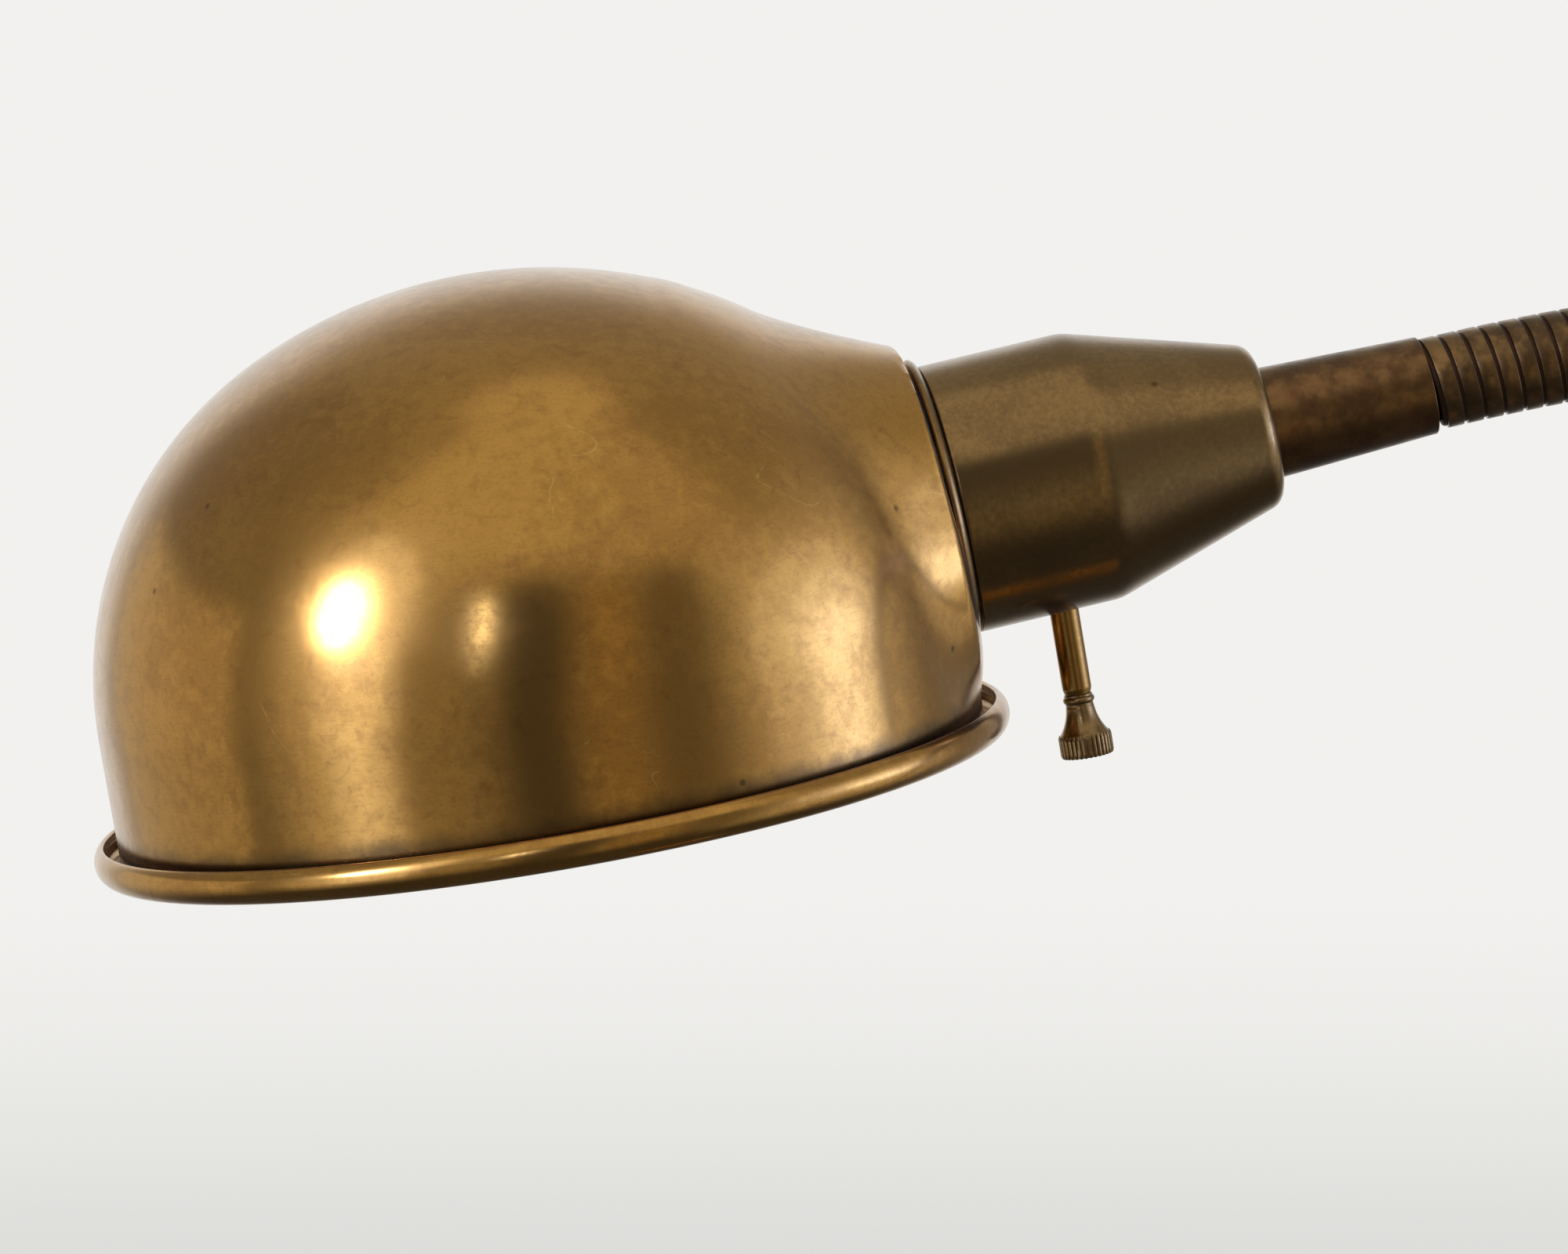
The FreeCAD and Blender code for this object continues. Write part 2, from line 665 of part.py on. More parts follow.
def ferrule(name, place):
    """A tapered ferrule: its wide end is screwed on a threaded tube, its mouth holds the arm."""
    seat_bottom = v.ferrule_length - v.ferrule_seat
    seat = v.arm_root_width / 2 + v.running_gap
    lip = (v.ferrule_mouth / 2 - seat) / 2
    body = turned(name, [
        (v.thread_width / 2, 0),
        (v.ferrule_width / 2, 0),
        (v.ferrule_mouth / 2, v.ferrule_length - lip),
        (v.ferrule_mouth / 2 - lip, v.ferrule_length),
        (seat, v.ferrule_length),
        (seat, seat_bottom),
        (v.thread_width / 2, seat_bottom),
    ], place)
    return body


class ArmPath:
    """The gooseneck's centre line: one arc per stretch, upright at the pole, bending less and
    less towards the head."""

    def __init__(self):
        self.count = int(v.arm_links)
        self.length = float(v.arm_length) / self.count
        total = math.radians(float(v.arm_turn))
        end_bend = 1 / float(v.arm_head_radius)
        start_bend = 2 * total / float(v.arm_length) - end_bend
        self.turns = []
        for number in range(self.count):
            share = (number + 0.5) / self.count
            self.turns.append((start_bend + (end_bend - start_bend) * share) * self.length)
        self.starts = [(FreeCAD.Vector(0, 0, float(arm_base + v.ferrule_length)), 0.0)]
        for number in range(self.count):
            self.starts.append(self.point(number, self.length))

    def point(self, number, distance):
        """Centre and heading (from straight up towards -X) at a distance along a stretch."""
        start, heading = self.starts[number]
        radius = self.length / self.turns[number]
        turned_to = heading + distance / radius
        x = start.x - radius * (math.cos(heading) - math.cos(turned_to))
        z = start.z + radius * (math.sin(turned_to) - math.sin(heading))
        return FreeCAD.Vector(x, 0, z), turned_to

    def ring(self, number, distance, width):
        """A circle round the centre line."""
        centre, heading = self.point(number, distance)
        along = FreeCAD.Vector(-math.sin(heading), 0, math.cos(heading))
        circle = Part.Circle(centre, along, width / 2)
        circle.XAxis = FreeCAD.Vector(0, 1, 0)
        return Part.Wire([circle.toShape()])

    def passage(self, number, width):
        """The bore along a whole stretch."""
        start, heading = self.starts[number]
        radius = self.length / self.turns[number]
        middle = start + FreeCAD.Vector(-radius * math.cos(heading), 0, -radius * math.sin(heading))
        face = Part.Face(self.ring(number, 0, width))
        return face.revolve(middle, FreeCAD.Vector(0, -1, 0), math.degrees(self.turns[number]))

    def end_placement(self):
        """The head's end of the arm, with local Z pointing back along the arm."""
        point, heading = self.starts[-1]
        return point, math.degrees(heading)


def arm_link(path, number):
    """One rigid stretch of the wound gooseneck: ribs along its arc, a ball at its far end and a
    round seat for the ball of the stretch before it."""
    pitch = path.length / int(v.ribs_per_link)
    last = number == path.count - 1
    first = number == 0
    ribs = int(v.ribs_per_link) - (0 if last else 1)
    rings = []
    for rib in range(ribs):
        begin = rib * pitch
        top = begin + pitch - float(v.rib_groove)
        edge = float(v.rib_edge)
        rings.append(path.ring(number, begin, float(v.arm_root_width)))
        rings.append(path.ring(number, begin + edge, float(v.arm_width)))
        rings.append(path.ring(number, top - edge, float(v.arm_width)))
        rings.append(path.ring(number, top, float(v.arm_root_width)))
    rings.append(path.ring(number, ribs * pitch, float(v.arm_root_width)))
    shape = Part.makeLoft(rings, True, True)
    start, heading = path.starts[number]
    along = FreeCAD.Vector(-math.sin(heading), 0, math.cos(heading))
    end, end_heading = path.starts[number + 1]
    end_along = FreeCAD.Vector(-math.sin(end_heading), 0, math.cos(end_heading))
    spigot = float(v.ferrule_seat - v.joint_gap)
    if first:
        root = Part.makeCylinder(float(v.arm_root_width) / 2, spigot, start - along * spigot, along)
        shape = shape.fuse(root)
        shape = shape.cut(Part.makeCylinder(float(v.arm_core_width) / 2, spigot, start - along * spigot, along))
    else:
        seat = float(v.ball_width) / 2 + float(v.joint_gap)
        shape = shape.cut(Part.makeSphere(seat, start, along))
    if last:
        root = Part.makeCylinder(float(v.arm_root_width) / 2, spigot, end, end_along)
        bore = Part.makeCylinder(float(v.arm_core_width) / 2, spigot, end, end_along)
        shape = shape.fuse(root).cut(bore)
    else:
        ball = Part.makeSphere(float(v.ball_width) / 2, end, end_along)
        reach = float(v.ball_width)
        bore = Part.makeCylinder(float(v.arm_core_width) / 2, reach, end, end_along)
        shape = shape.fuse(ball).cut(bore)
    shape = shape.cut(path.passage(number, float(v.arm_core_width)))
    return shape.removeSplitter()


def build_arm(path):
    keep("lower_ferrule", ferrule("lower_ferrule_piece", at(z=arm_base)))
    for number in range(path.count):
        link = doc.addObject("Part::Feature", f"link_piece_{number + 1}")
        link.Shape = arm_link(path, number)
        keep(f"gooseneck_{number + 1:02d}", link)


class HeadPlace:
    """Where the head's pieces stand: a frame on the socket's axis, whose Z runs from the dome's
    axis back towards the arm and whose X points down, and one on the shade's rim."""

    def __init__(self, path):
        end, heading = path.end_placement()
        axis_rise = heading - 90
        back = FreeCAD.Vector(math.cos(math.radians(axis_rise)), 0, math.sin(math.radians(axis_rise)))
        reach = cup_back + v.ferrule_length
        self.turn = FreeCAD.Rotation(FreeCAD.Vector(0, 1, 0), 90 - axis_rise)
        self.middle = end - back * float(reach)
        rim_tilt = axis_rise - float(v.neck_rise)
        self.shade_turn = FreeCAD.Rotation(FreeCAD.Vector(0, 1, 0), -rim_tilt)
        up = self.shade_turn.multVec(FreeCAD.Vector(0, 0, 1))
        self.rim_middle = self.middle - up * float(v.neck_height)

    def socket(self, along=0.0):
        back = self.turn.multVec(FreeCAD.Vector(0, 0, float(along)))
        return FreeCAD.Placement(self.middle + back, self.turn)

    def shade(self):
        return FreeCAD.Placement(self.rim_middle, self.shade_turn)

    def side(self, along, direction):
        """A place on the socket's axis, Z out to one side."""
        quarter = FreeCAD.Rotation(FreeCAD.Vector(1, 0, 0), -90 * direction)
        return FreeCAD.Placement(self.socket(along).Base, self.turn.multiply(quarter))

    def stem(self, along_stem):
        """A place on the switch stem's axis, Z outwards along the stem."""
        lean = FreeCAD.Rotation(FreeCAD.Vector(0, 1, 0), 90 + float(v.stem_lean))
        turn = self.turn.multiply(lean)
        foot = self.middle + self.turn.multVec(FreeCAD.Vector(0, 0, float(v.stem_place)))
        return FreeCAD.Placement(foot + turn.multVec(FreeCAD.Vector(0, 0, float(along_stem))), turn)


# Places along the socket's axis, from the dome's axis
ring_front = v.neck_reach + v.seat_gap
cup_front = ring_front + v.ring_thickness + v.seat_gap
cup_shoulder = cup_front + v.cup_straight
cup_back = cup_shoulder + v.cup_taper


def turned_from_the_nose(face):
    """Turn a face about Z, with the seam on the side away from the neck."""
    face.rotate(FreeCAD.Vector(), FreeCAD.Vector(0, 0, 1), 180)
    return face.revolve(FreeCAD.Vector(), FreeCAD.Vector(0, 0, 1), 360)


def arc_between(centre, radius, start, end):
    """An arc round a centre, from one point to another by the short way."""
    middle = centre + ((start - centre) + (end - centre)).normalize() * radius
    return Part.Arc(start, middle, end).toShape()


def dome(inset):
    """The dome as a solid inset from the shade's outer face: an upright wall, a side bend and a
    flatter crown that run into each other."""
    half = float(v.shade_width) / 2
    rise = float(v.shade_height - v.wall_height)
    side = float(v.dome_side_radius)
    crown = ((half - side) ** 2 + rise ** 2 - side ** 2) / (2 * (rise - side))
    side_centre = FreeCAD.Vector(half - side, 0, float(v.wall_height))
    crown_centre = FreeCAD.Vector(0, 0, float(v.shade_height) - crown)
    join = side_centre + (side_centre - crown_centre).normalize() * (side - inset)
    foot = FreeCAD.Vector(half - inset, 0, 0)
    wall_top = FreeCAD.Vector(half - inset, 0, float(v.wall_height))
    top = FreeCAD.Vector(0, 0, float(v.shade_height) - inset)
    edges = [
        Part.makeLine(FreeCAD.Vector(), foot),
        Part.makeLine(foot, wall_top),
        arc_between(side_centre, side - inset, wall_top, join),
        arc_between(crown_centre, crown - inset, join, top),
        Part.makeLine(top, FreeCAD.Vector()),
    ]
    return turned_from_the_nose(Part.Face(Part.Wire(edges)))


def neck_cone(inset):
    """The neck as a solid that swells upwards into the dome, with a rounded end."""
    end = float(v.neck_reach) - inset
    root = float(v.neck_reach - v.neck_root_depth)
    up = FreeCAD.Vector(0, 0, 1)
    root_middle = FreeCAD.Vector(-float(v.neck_root_lift), 0, root)
    wide = Part.Circle(root_middle, up, float(v.neck_root_width) / 2 - inset)
    narrow = Part.Circle(FreeCAD.Vector(0, 0, end), up, float(v.neck_width) / 2 - inset)
    cone = Part.makeLoft([Part.Wire([wide.toShape()]), Part.Wire([narrow.toShape()])], True, True)
    rim = [edge for edge in cone.Edges if abs(edge.BoundBox.ZMin - end) < 1e-4]
    cone = cone.makeFillet(float(v.neck_round) - inset, rim)
    lean = FreeCAD.Rotation(FreeCAD.Vector(0, 1, 0), 90 - float(v.neck_rise))
    cone.Placement = FreeCAD.Placement(FreeCAD.Vector(0, 0, float(v.neck_height)), lean)
    return cone


def rolled_rim():
    """The sheet curled outwards at the rim into a roll, open at the top beside the wall."""
    sheet_wall = float(v.sheet)
    inside = float(v.shade_width) / 2 - sheet_wall
    bend = float(v.curl_width) / 2
    middle = FreeCAD.Vector(inside + bend, 0, bend)

    def roll(first, last, radius):
        """An arc about the roll's middle, its angles in degrees from the outer side."""
        ends = [math.radians(angle) for angle in (first, (first + last) / 2, last)]
        ways = [FreeCAD.Vector(math.cos(angle), 0, math.sin(angle)) for angle in ends]
        return Part.Arc(*[middle + way * radius for way in ways]).toShape()

    close = float(v.curl_close)
    outer = [roll(-180, 0, bend), roll(0, close, bend)]
    inner = [roll(close, 0, bend - sheet_wall), roll(0, -180, bend - sheet_wall)]
    edges = [
        *outer,
        Part.makeLine(outer[-1].Vertexes[-1].Point, inner[0].Vertexes[0].Point),
        *inner,
        Part.makeLine(inner[-1].Vertexes[-1].Point, outer[0].Vertexes[0].Point),
    ]
    return turned_from_the_nose(Part.Face(Part.Wire(edges)))


def meeting_edges(shape, first, second):
    """Edges of a fused shape that lie on the faces of both solids it was fused from."""
    edges = []
    for edge in shape.Edges:
        middle = Part.Vertex(edge.valueAt((edge.FirstParameter + edge.LastParameter) / 2))
        gaps = [middle.distToShape(solid.Shells[0])[0] for solid in (first, second)]
        if max(gaps) < 1e-3:
            edges.append(edge)
    return edges


def shade_shape():
    outer_cone = neck_cone(0.0)
    outer_dome = dome(0.0)
    outer = outer_dome.fuse(outer_cone)
    seam = meeting_edges(outer, outer_dome, outer_cone)
    outer = outer.makeFillet(float(v.neck_blend), seam)
    inner_cone = neck_cone(float(v.sheet))
    inner = dome(float(v.sheet)).fuse(inner_cone)
    shell = outer.cut(inner)
    trim = Part.makeCylinder(float(v.shade_width), float(v.curl_width) / 2)
    shell = shell.cut(trim).fuse(rolled_rim())
    hole_start = FreeCAD.Vector(0, 0, float(v.neck_reach - v.neck_width / 2))
    hole = Part.makeCylinder(float(v.neck_hole) / 2, float(v.neck_width), hole_start)
    hole.Placement = outer_cone.Placement
    return shell.cut(hole).removeSplitter()


def build_shade(place):
    shade = doc.addObject("Part::Feature", "shade_piece")
    shade.Shape = shade_shape()
    shade.Placement = place.shade()
    keep("shade", shade)


def build_cup(place):
    ring_inside = v.sleeve_width / 2 + v.running_gap
    ring = turned("ring_piece", [
        (ring_inside, ring_front),
        (v.cup_width / 2 + v.ring_flare, ring_front),
        Bow((v.ring_flare + v.ring_thickness) * 0.66, -1),
        (v.cup_width / 2, ring_front + v.ring_thickness),
        (ring_inside, ring_front + v.ring_thickness),
    ], place.socket())
    keep("shade_ring", ring)

    nut_back = v.neck_reach - v.sheet
    nut = turned("ring_nut_piece", [
        (ring_inside, nut_back - v.ring_nut_thickness),
        (v.ring_nut_width / 2, nut_back - v.ring_nut_thickness),
        (v.ring_nut_width / 2, nut_back),
        (ring_inside, nut_back),
    ], place.socket())
    keep("shade_ring_nut", nut)

    sleeve_inside = v.sleeve_width / 2 - v.sleeve_wall
    sleeve_front = v.neck_reach - v.sleeve_reach
    wide = v.cup_width / 2
    narrow = v.cup_end_width / 2
    wall = v.cup_wall
    cup = turned("cup_piece", [
        (sleeve_inside, sleeve_front),
        (v.sleeve_width / 2, sleeve_front),
        (v.sleeve_width / 2, cup_front),
        (wide, cup_front),
        (wide, cup_shoulder),
        (narrow, cup_back),
        (v.thread_width / 2 + v.running_gap, cup_back),
        (v.thread_width / 2 + v.running_gap, cup_back - wall),
        (narrow - wall, cup_back - wall),
        (wide - wall, cup_shoulder),
        (wide - wall, cup_front + wall),
        (sleeve_inside, cup_front + wall),
    ], place.socket())
    rounded(cup, "cup_end_round_piece", v.cup_end_round, [(narrow, cup_back)])
    opening = cylinder("stem_opening", v.stem_width + v.joint_gap * 2, v.cup_width / 2,
                       place.stem(v.cup_width / 4))
    keep("socket_cup", without("socket_cup", cup, opening))

    keep("upper_ferrule", ferrule("upper_ferrule_piece", place.socket(cup_back)))

    locknut = hexagon_nut("locknut_piece", v.locknut_flats, v.locknut_thickness, v.thread_width,
                          place.socket(cup_back - v.cup_wall - v.locknut_thickness))
    keep("socket_locknut", locknut)


def build_socket(place):
    shell_back = v.shell_front + v.shell_length
    shell_out = v.shell_width / 2
    shell_in = shell_out - v.shell_wall
    shell = turned("shell_piece", [
        (shell_in, v.shell_front),
        (shell_out, v.shell_front),
        (shell_out, shell_back),
        (shell_in * 0.45, shell_back),
        (shell_in * 0.45, shell_back - v.shell_wall),
        (shell_in, shell_back - v.shell_wall),
    ], place.socket())
    keep("screw_shell", shell)

    liner = tube_on(place, "liner_piece", v.liner_width, v.liner_wall, v.shell_front,
                    v.shell_front + v.liner_length)
    liner_hole = cylinder("liner_hole", v.stem_width + v.joint_gap * 2, v.liner_width, place.stem(0))
    keep("fibre_liner", without("fibre_liner", liner, liner_hole))

    block_back = shell_back + v.insulator_length
    rotor_room = v.rotor_thickness + v.joint_gap * 2
    block = turned("block_piece", [
        (0, shell_back),
        (v.insulator_width / 2, shell_back),
        (v.insulator_width / 2, block_back),
        (0, block_back),
    ], place.socket())
    room = cylinder("rotor_room", v.rotor_width + v.joint_gap * 2, rotor_room, place.stem(0 - rotor_room / 2))
    way = cylinder("stem_way", v.stem_width + v.running_gap * 2, v.insulator_width, place.stem(0))
    screws, screw_rooms = terminal_screws(place, shell_back + v.insulator_length / 2)
    keep("switch_block", without("switch_block", block, room, way, *screw_rooms))
    keep("terminal_screws", screws)

    contact_back = shell_back - v.shell_wall
    contact = turned("contact_piece", [
        (0, contact_back - v.shell_wall * 5),
        (v.rotor_width * 0.2, contact_back - v.shell_wall * 5),
        (v.rotor_width * 0.3, contact_back - v.shell_wall * 3),
        (v.rotor_width * 0.3, shell_back),
        (0, shell_back),
    ], place.socket())
    keep("centre_contact", contact)

    cap_back = block_back + v.cap_length
    thread = v.thread_width / 2
    cap = turned("cap_piece", [
        (v.insulator_width / 4, block_back),
        (v.insulator_width / 2, block_back),
        (thread + v.cap_wall * 3, cap_back - v.cap_length * 0.4),
        (thread + v.cap_wall * 3, cap_back),
        (thread, cap_back),
        (thread, cap_back - v.cap_length * 0.5),
        (v.insulator_width / 4, block_back + v.cap_wall),
    ], place.socket())
    keep("socket_cap", cap)
    nipple = tube_on(place, "nipple_piece", v.thread_width, (v.thread_width - v.thread_bore) / 2,
                     cap_back - v.cap_length * 0.5, cup_back + thread_depth)
    keep("socket_nipple", nipple)


def terminal_screws(place, along):
    """Two screws in the sides of the switch block, and the room to cut for each."""
    seat = v.insulator_width / 2 - v.terminal_head_height - v.joint_gap * 2
    foot = seat - v.terminal_reach
    screws = []
    rooms = []
    for side, name in ((-1, "left"), (1, "right")):
        spot = place.side(along, side)
        screws.append(turned(f"terminal_{name}", [
            (0, foot),
            (v.terminal_width / 2, foot),
            (v.terminal_width / 2, seat),
            (v.terminal_head / 2, seat),
            (v.terminal_head / 2, seat + v.terminal_head_height),
            (0, seat + v.terminal_head_height),
        ], spot))
        rooms.append(turned(f"terminal_room_{name}", [
            (0, foot),
            (v.terminal_width / 2, foot),
            (v.terminal_width / 2, seat),
            (v.terminal_head / 2 + v.joint_gap * 2, seat),
            (v.terminal_head / 2 + v.joint_gap * 2, v.insulator_width),
            (0, v.insulator_width),
        ], spot))
    pair = doc.addObject("Part::Compound", "terminal_pair")
    pair.Links = screws
    return pair, rooms


def tube_on(place, name, width, wall, front, back):
    return turned(name, [
        (width / 2 - wall, front),
        (width / 2, front),
        (width / 2, back),
        (width / 2 - wall, back),
    ], place.socket())


def build_switch(place):
    rotor = turned("rotor_piece", [
        (0, 0 - v.rotor_thickness / 2),
        (v.rotor_width / 2, 0 - v.rotor_thickness / 2),
        (v.rotor_width / 2, v.rotor_thickness / 2),
        (0, v.rotor_thickness / 2),
    ], place.stem(0))
    keep("switch_rotor", rotor)
    # The stem leaves the cup where its axis passes the cup's outer face
    stem_end = v.cup_width / 2 + v.stem_shown
    stem = turned("stem_piece", [
        (0, v.rotor_thickness / 2),
        (v.stem_width / 2, v.rotor_thickness / 2),
        (v.stem_width / 2, stem_end),
        (0, stem_end),
    ], place.stem(0))
    keep("switch_stem", stem)
    bead_top = v.bead_height
    bead_rise = (v.bead_width - v.knob_waist) / 2
    bead_bend = (v.bead_height * v.bead_height / 4 + bead_rise * bead_rise) / (bead_rise * 2)
    flare_top = bead_top + v.knob_flare
    band_top = flare_top + v.knob_band
    radius = v.knob_width / 2
    knob = turned("knob_piece", [
        (0, 0),
        (v.knob_waist / 2, 0),
        Bow(bead_bend, -1),
        (v.knob_waist / 2, bead_top),
        Bow(v.knob_flare * 1.3, 1),
        (radius - v.knob_groove, flare_top),
        (radius, flare_top + v.knob_groove / 2),
        (radius, band_top - v.knob_groove / 2),
        (radius - v.knob_groove, band_top),
        (0, band_top),
    ])
    grooved(knob, "knob", radius, v.knob_groove, flare_top - v.knob_groove, band_top, v.knob_teeth)
    knob.Placement = place.stem(stem_end)
    keep("switch_knob", knob)


def build_bulb(place):
    """A pear-shaped bulb in the screw shell, its glass towards the front of the shade."""
    cap_back = v.shell_front + v.shell_length - v.shell_wall * 6
    cap_front = cap_back - v.bulb_cap_length
    tip = cap_back - v.bulb_length
    globe = v.bulb_width / 2
    middle = tip + globe
    neck = v.bulb_cap_width / 2 - v.shell_wall * 2
    wall = v.bulb_glass
    # The neck's hollow bend runs into the globe and ends straight at the cap
    rise = cap_front - middle
    bend = (neck * neck + rise * rise - globe * globe) / ((globe - neck) * 2)
    across = (neck + bend) / (globe + bend)
    along = rise / (globe + bend)
    glass = turned("glass_piece", [
        (0, tip),
        Bow(globe, -1),
        (globe * across, middle + globe * along),
        Bow(bend, 1),
        (neck, cap_front),
        (neck - wall, cap_front),
        Bow(bend + wall, -1),
        ((globe - wall) * across, middle + (globe - wall) * along),
        Bow(globe - wall, 1),
        (0, tip + wall),
    ], place.socket())
    keep("bulb_glass", glass)
    cap = turned("bulb_cap_piece", [
        (neck - wall, cap_front),
        (v.bulb_cap_width / 2, cap_front),
        (v.bulb_cap_width / 2, cap_back - v.bulb_cap_end * 2),
        (v.bulb_contact, cap_back - v.bulb_cap_end / 2),
        (v.bulb_contact / 2, cap_back),
        (0, cap_back),
        (0, cap_back - v.bulb_cap_end * 2),
        (neck - wall, cap_back - v.bulb_cap_end * 3),
    ], place.socket())
    keep("bulb_cap", cap)


def check_and_write():
    doc.recompute()
    for piece in doc.Objects:
        if "Invalid" in piece.State or "Error" in piece.State:
            raise RuntimeError(f"{piece.Name} did not compute: {piece.State}")
    os.makedirs("parts", exist_ok=True)
    for label, piece in finished.items():
        shape = piece.Shape
        if shape.isNull() or not shape.isValid() or not shape.Solids:
            raise RuntimeError(f"{label} is not a valid solid")
        file = os.path.join("parts", label + ".step")
        shape.exportStep(file)
        written = Part.Shape()
        written.read(file)
        if not written.isValid() or abs(written.Volume - shape.Volume) > shape.Volume * 1e-3:
            raise RuntimeError(f"{label} changed when it was written")
        box = shape.BoundBox
        print(f"{label:18s} {len(shape.Solids)} solid {shape.Volume / 1000:9.2f} cm3"
              f"  x {box.XMin:7.1f} {box.XMax:7.1f}  z {box.ZMin:7.1f} {box.ZMax:7.1f}")


def main():
    path = ArmPath()
    place = HeadPlace(path)
    build_base()
    build_foot_of_pole()
    build_pole()
    build_swivel()
    build_arm(path)
    build_shade(place)
    build_cup(place)
    build_socket(place)
    build_switch(place)
    build_bulb(place)
    check_and_write()


main()
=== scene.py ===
import json
import math

import bpy
import numpy as np
from bpy.props import FloatProperty, FloatVectorProperty, IntProperty, PointerProperty
from mathutils import Matrix, Vector


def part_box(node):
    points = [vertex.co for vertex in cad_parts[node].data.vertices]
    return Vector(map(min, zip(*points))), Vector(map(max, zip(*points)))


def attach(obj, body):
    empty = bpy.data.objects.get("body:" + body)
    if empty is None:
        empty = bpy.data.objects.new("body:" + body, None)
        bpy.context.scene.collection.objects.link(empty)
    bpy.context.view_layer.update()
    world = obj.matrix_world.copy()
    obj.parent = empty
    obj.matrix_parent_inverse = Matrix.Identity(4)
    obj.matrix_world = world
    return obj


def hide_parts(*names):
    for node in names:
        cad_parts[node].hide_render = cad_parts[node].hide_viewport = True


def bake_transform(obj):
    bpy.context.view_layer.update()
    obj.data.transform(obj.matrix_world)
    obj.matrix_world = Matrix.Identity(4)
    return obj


bl_info = {
    "name": "Gooseneck Floor Lamp",
    "version": (1, 0, 0),
    "blender": (4, 5, 0),
    "location": "View3D > Sidebar > Lamp",
    "description": "Dresses a floor lamp with a domed brass shade, a wound gooseneck and a turned stand",
    "category": "Add Mesh",
}

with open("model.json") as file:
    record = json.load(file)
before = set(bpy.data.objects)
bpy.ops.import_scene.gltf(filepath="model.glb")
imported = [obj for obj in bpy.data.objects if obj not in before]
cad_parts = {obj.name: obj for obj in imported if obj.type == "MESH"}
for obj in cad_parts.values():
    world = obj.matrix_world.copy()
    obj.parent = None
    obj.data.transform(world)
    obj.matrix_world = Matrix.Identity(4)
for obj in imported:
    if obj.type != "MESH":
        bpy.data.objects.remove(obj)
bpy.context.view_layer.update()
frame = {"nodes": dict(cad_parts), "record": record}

MM = 0.001

# Clearance round a piece that slides or screws over another
SLIDE = 0.1 * MM
# Edges that turn by more than this show as edges
SHARP = math.radians(40)
UPRIGHT = Matrix.Identity(4)


# Properties

def length(name, description, millimetres):
    """A length that a user can change, given here in millimetres."""
    return FloatProperty(name=name, description=description, default=millimetres * MM, unit="LENGTH",
                         precision=4)


def angle_of(name, description, degrees):
    """An angle that a user can change, given here in degrees."""
    return FloatProperty(name=name, description=description, default=math.radians(degrees), unit="ROTATION")


def number_of(name, description, default):
    """A count that a user can change."""
    return IntProperty(name=name, description=description, default=default)


def radiance_of(name, description, default):
    """The strength of a light that a user can change."""
    return FloatProperty(name=name, description=description, default=default)


def linear(hex_colour):
    """An sRGB colour written as hex, as the linear values that shaders take."""
    values = []
    for start in (1, 3, 5):
        share = int(hex_colour[start:start + 2], 16) / 255
        values.append(share / 12.92 if share <= 0.04045 else ((share + 0.055) / 1.055) ** 2.4)
    return (*values, 1.0)


def colour(name, description, hex_colour):
    """A colour that a user can change."""
    return FloatVectorProperty(name=name, description=description, default=linear(hex_colour), size=4,
                               min=0.0, max=1.0, subtype="COLOR")


def span(node_name, axis):
    """Lowest and highest coordinate of a CAD node along an axis."""
    low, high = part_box(node_name)
    return low[axis], high[axis]


def middle_of(node_name, axis):
    """Middle of a CAD node along an axis."""
    low, high = span(node_name, axis)
    return (low + high) / 2


class ShadeSizes(bpy.types.PropertyGroup):
    wall_radius: length("Wall radius", "Outside of the upright wall", 84.2)
    wall_height: length("Wall height", "Upright wall, from the rim's lowest line", 26.6)
    side_bend: length("Side bend", "Radius of the bend from the wall into the dome", 73.7)
    height: length("Height", "From the rim's lowest line to the crown", 102.8)
    sheet: length("Sheet", "Thickness of the spun sheet", 1.0)
    curl_width: length("Curl width", "Rolled rim, across", 6.0)
    curl_height: length("Curl height", "Height of the rolled rim", 6.9)
    curl_close: angle_of("Curl close", "How far the rolled rim closes above its middle", 62)
    neck_height: length("Neck height", "Socket's axis above the rim's lowest line at the dome's axis", 39.1)
    neck_reach: length("Neck reach", "End of the neck from the dome's axis", 82.2)
    neck_radius: length("Neck radius", "Neck at its end", 28.4)
    neck_length: length("Neck length", "Stretch of the neck that swells into the dome", 36.2)
    neck_root: length("Neck root", "Radius that the neck has swollen to at its root", 33.9)
    neck_lift: length("Neck lift", "How far the neck's root lies above the socket's axis", 13.2)
    neck_sag: length("Neck sag", "Hollow of the neck's top line", 3.2)
    neck_round: length("Neck round", "Rounded edge at the sides of the neck's end", 0.8)
    top_round: length("Top round", "Rounded edge at the top of the neck's end", 1.3)
    neck_hole: length("Neck hole", "Radius of the hole for the socket's sleeve", 19.0)
    hollow: length("Hollow", "Bend between the dome and the neck's sides", 40.0)
    low_hollow: length("Low hollow", "Bend between the dome and the underside of the neck", 8.0)
    top_hollow: length("Top hollow", "Bend between the dome and the neck's top line", 155.0)
    neck_rise: angle_of("Neck rise", "Angle of the socket's axis above the rim", 3.46)
    columns: number_of("Columns", "Mesh columns round the rim", 256)
    rows: number_of("Rows", "Mesh rows from the rim to the neck", 145)


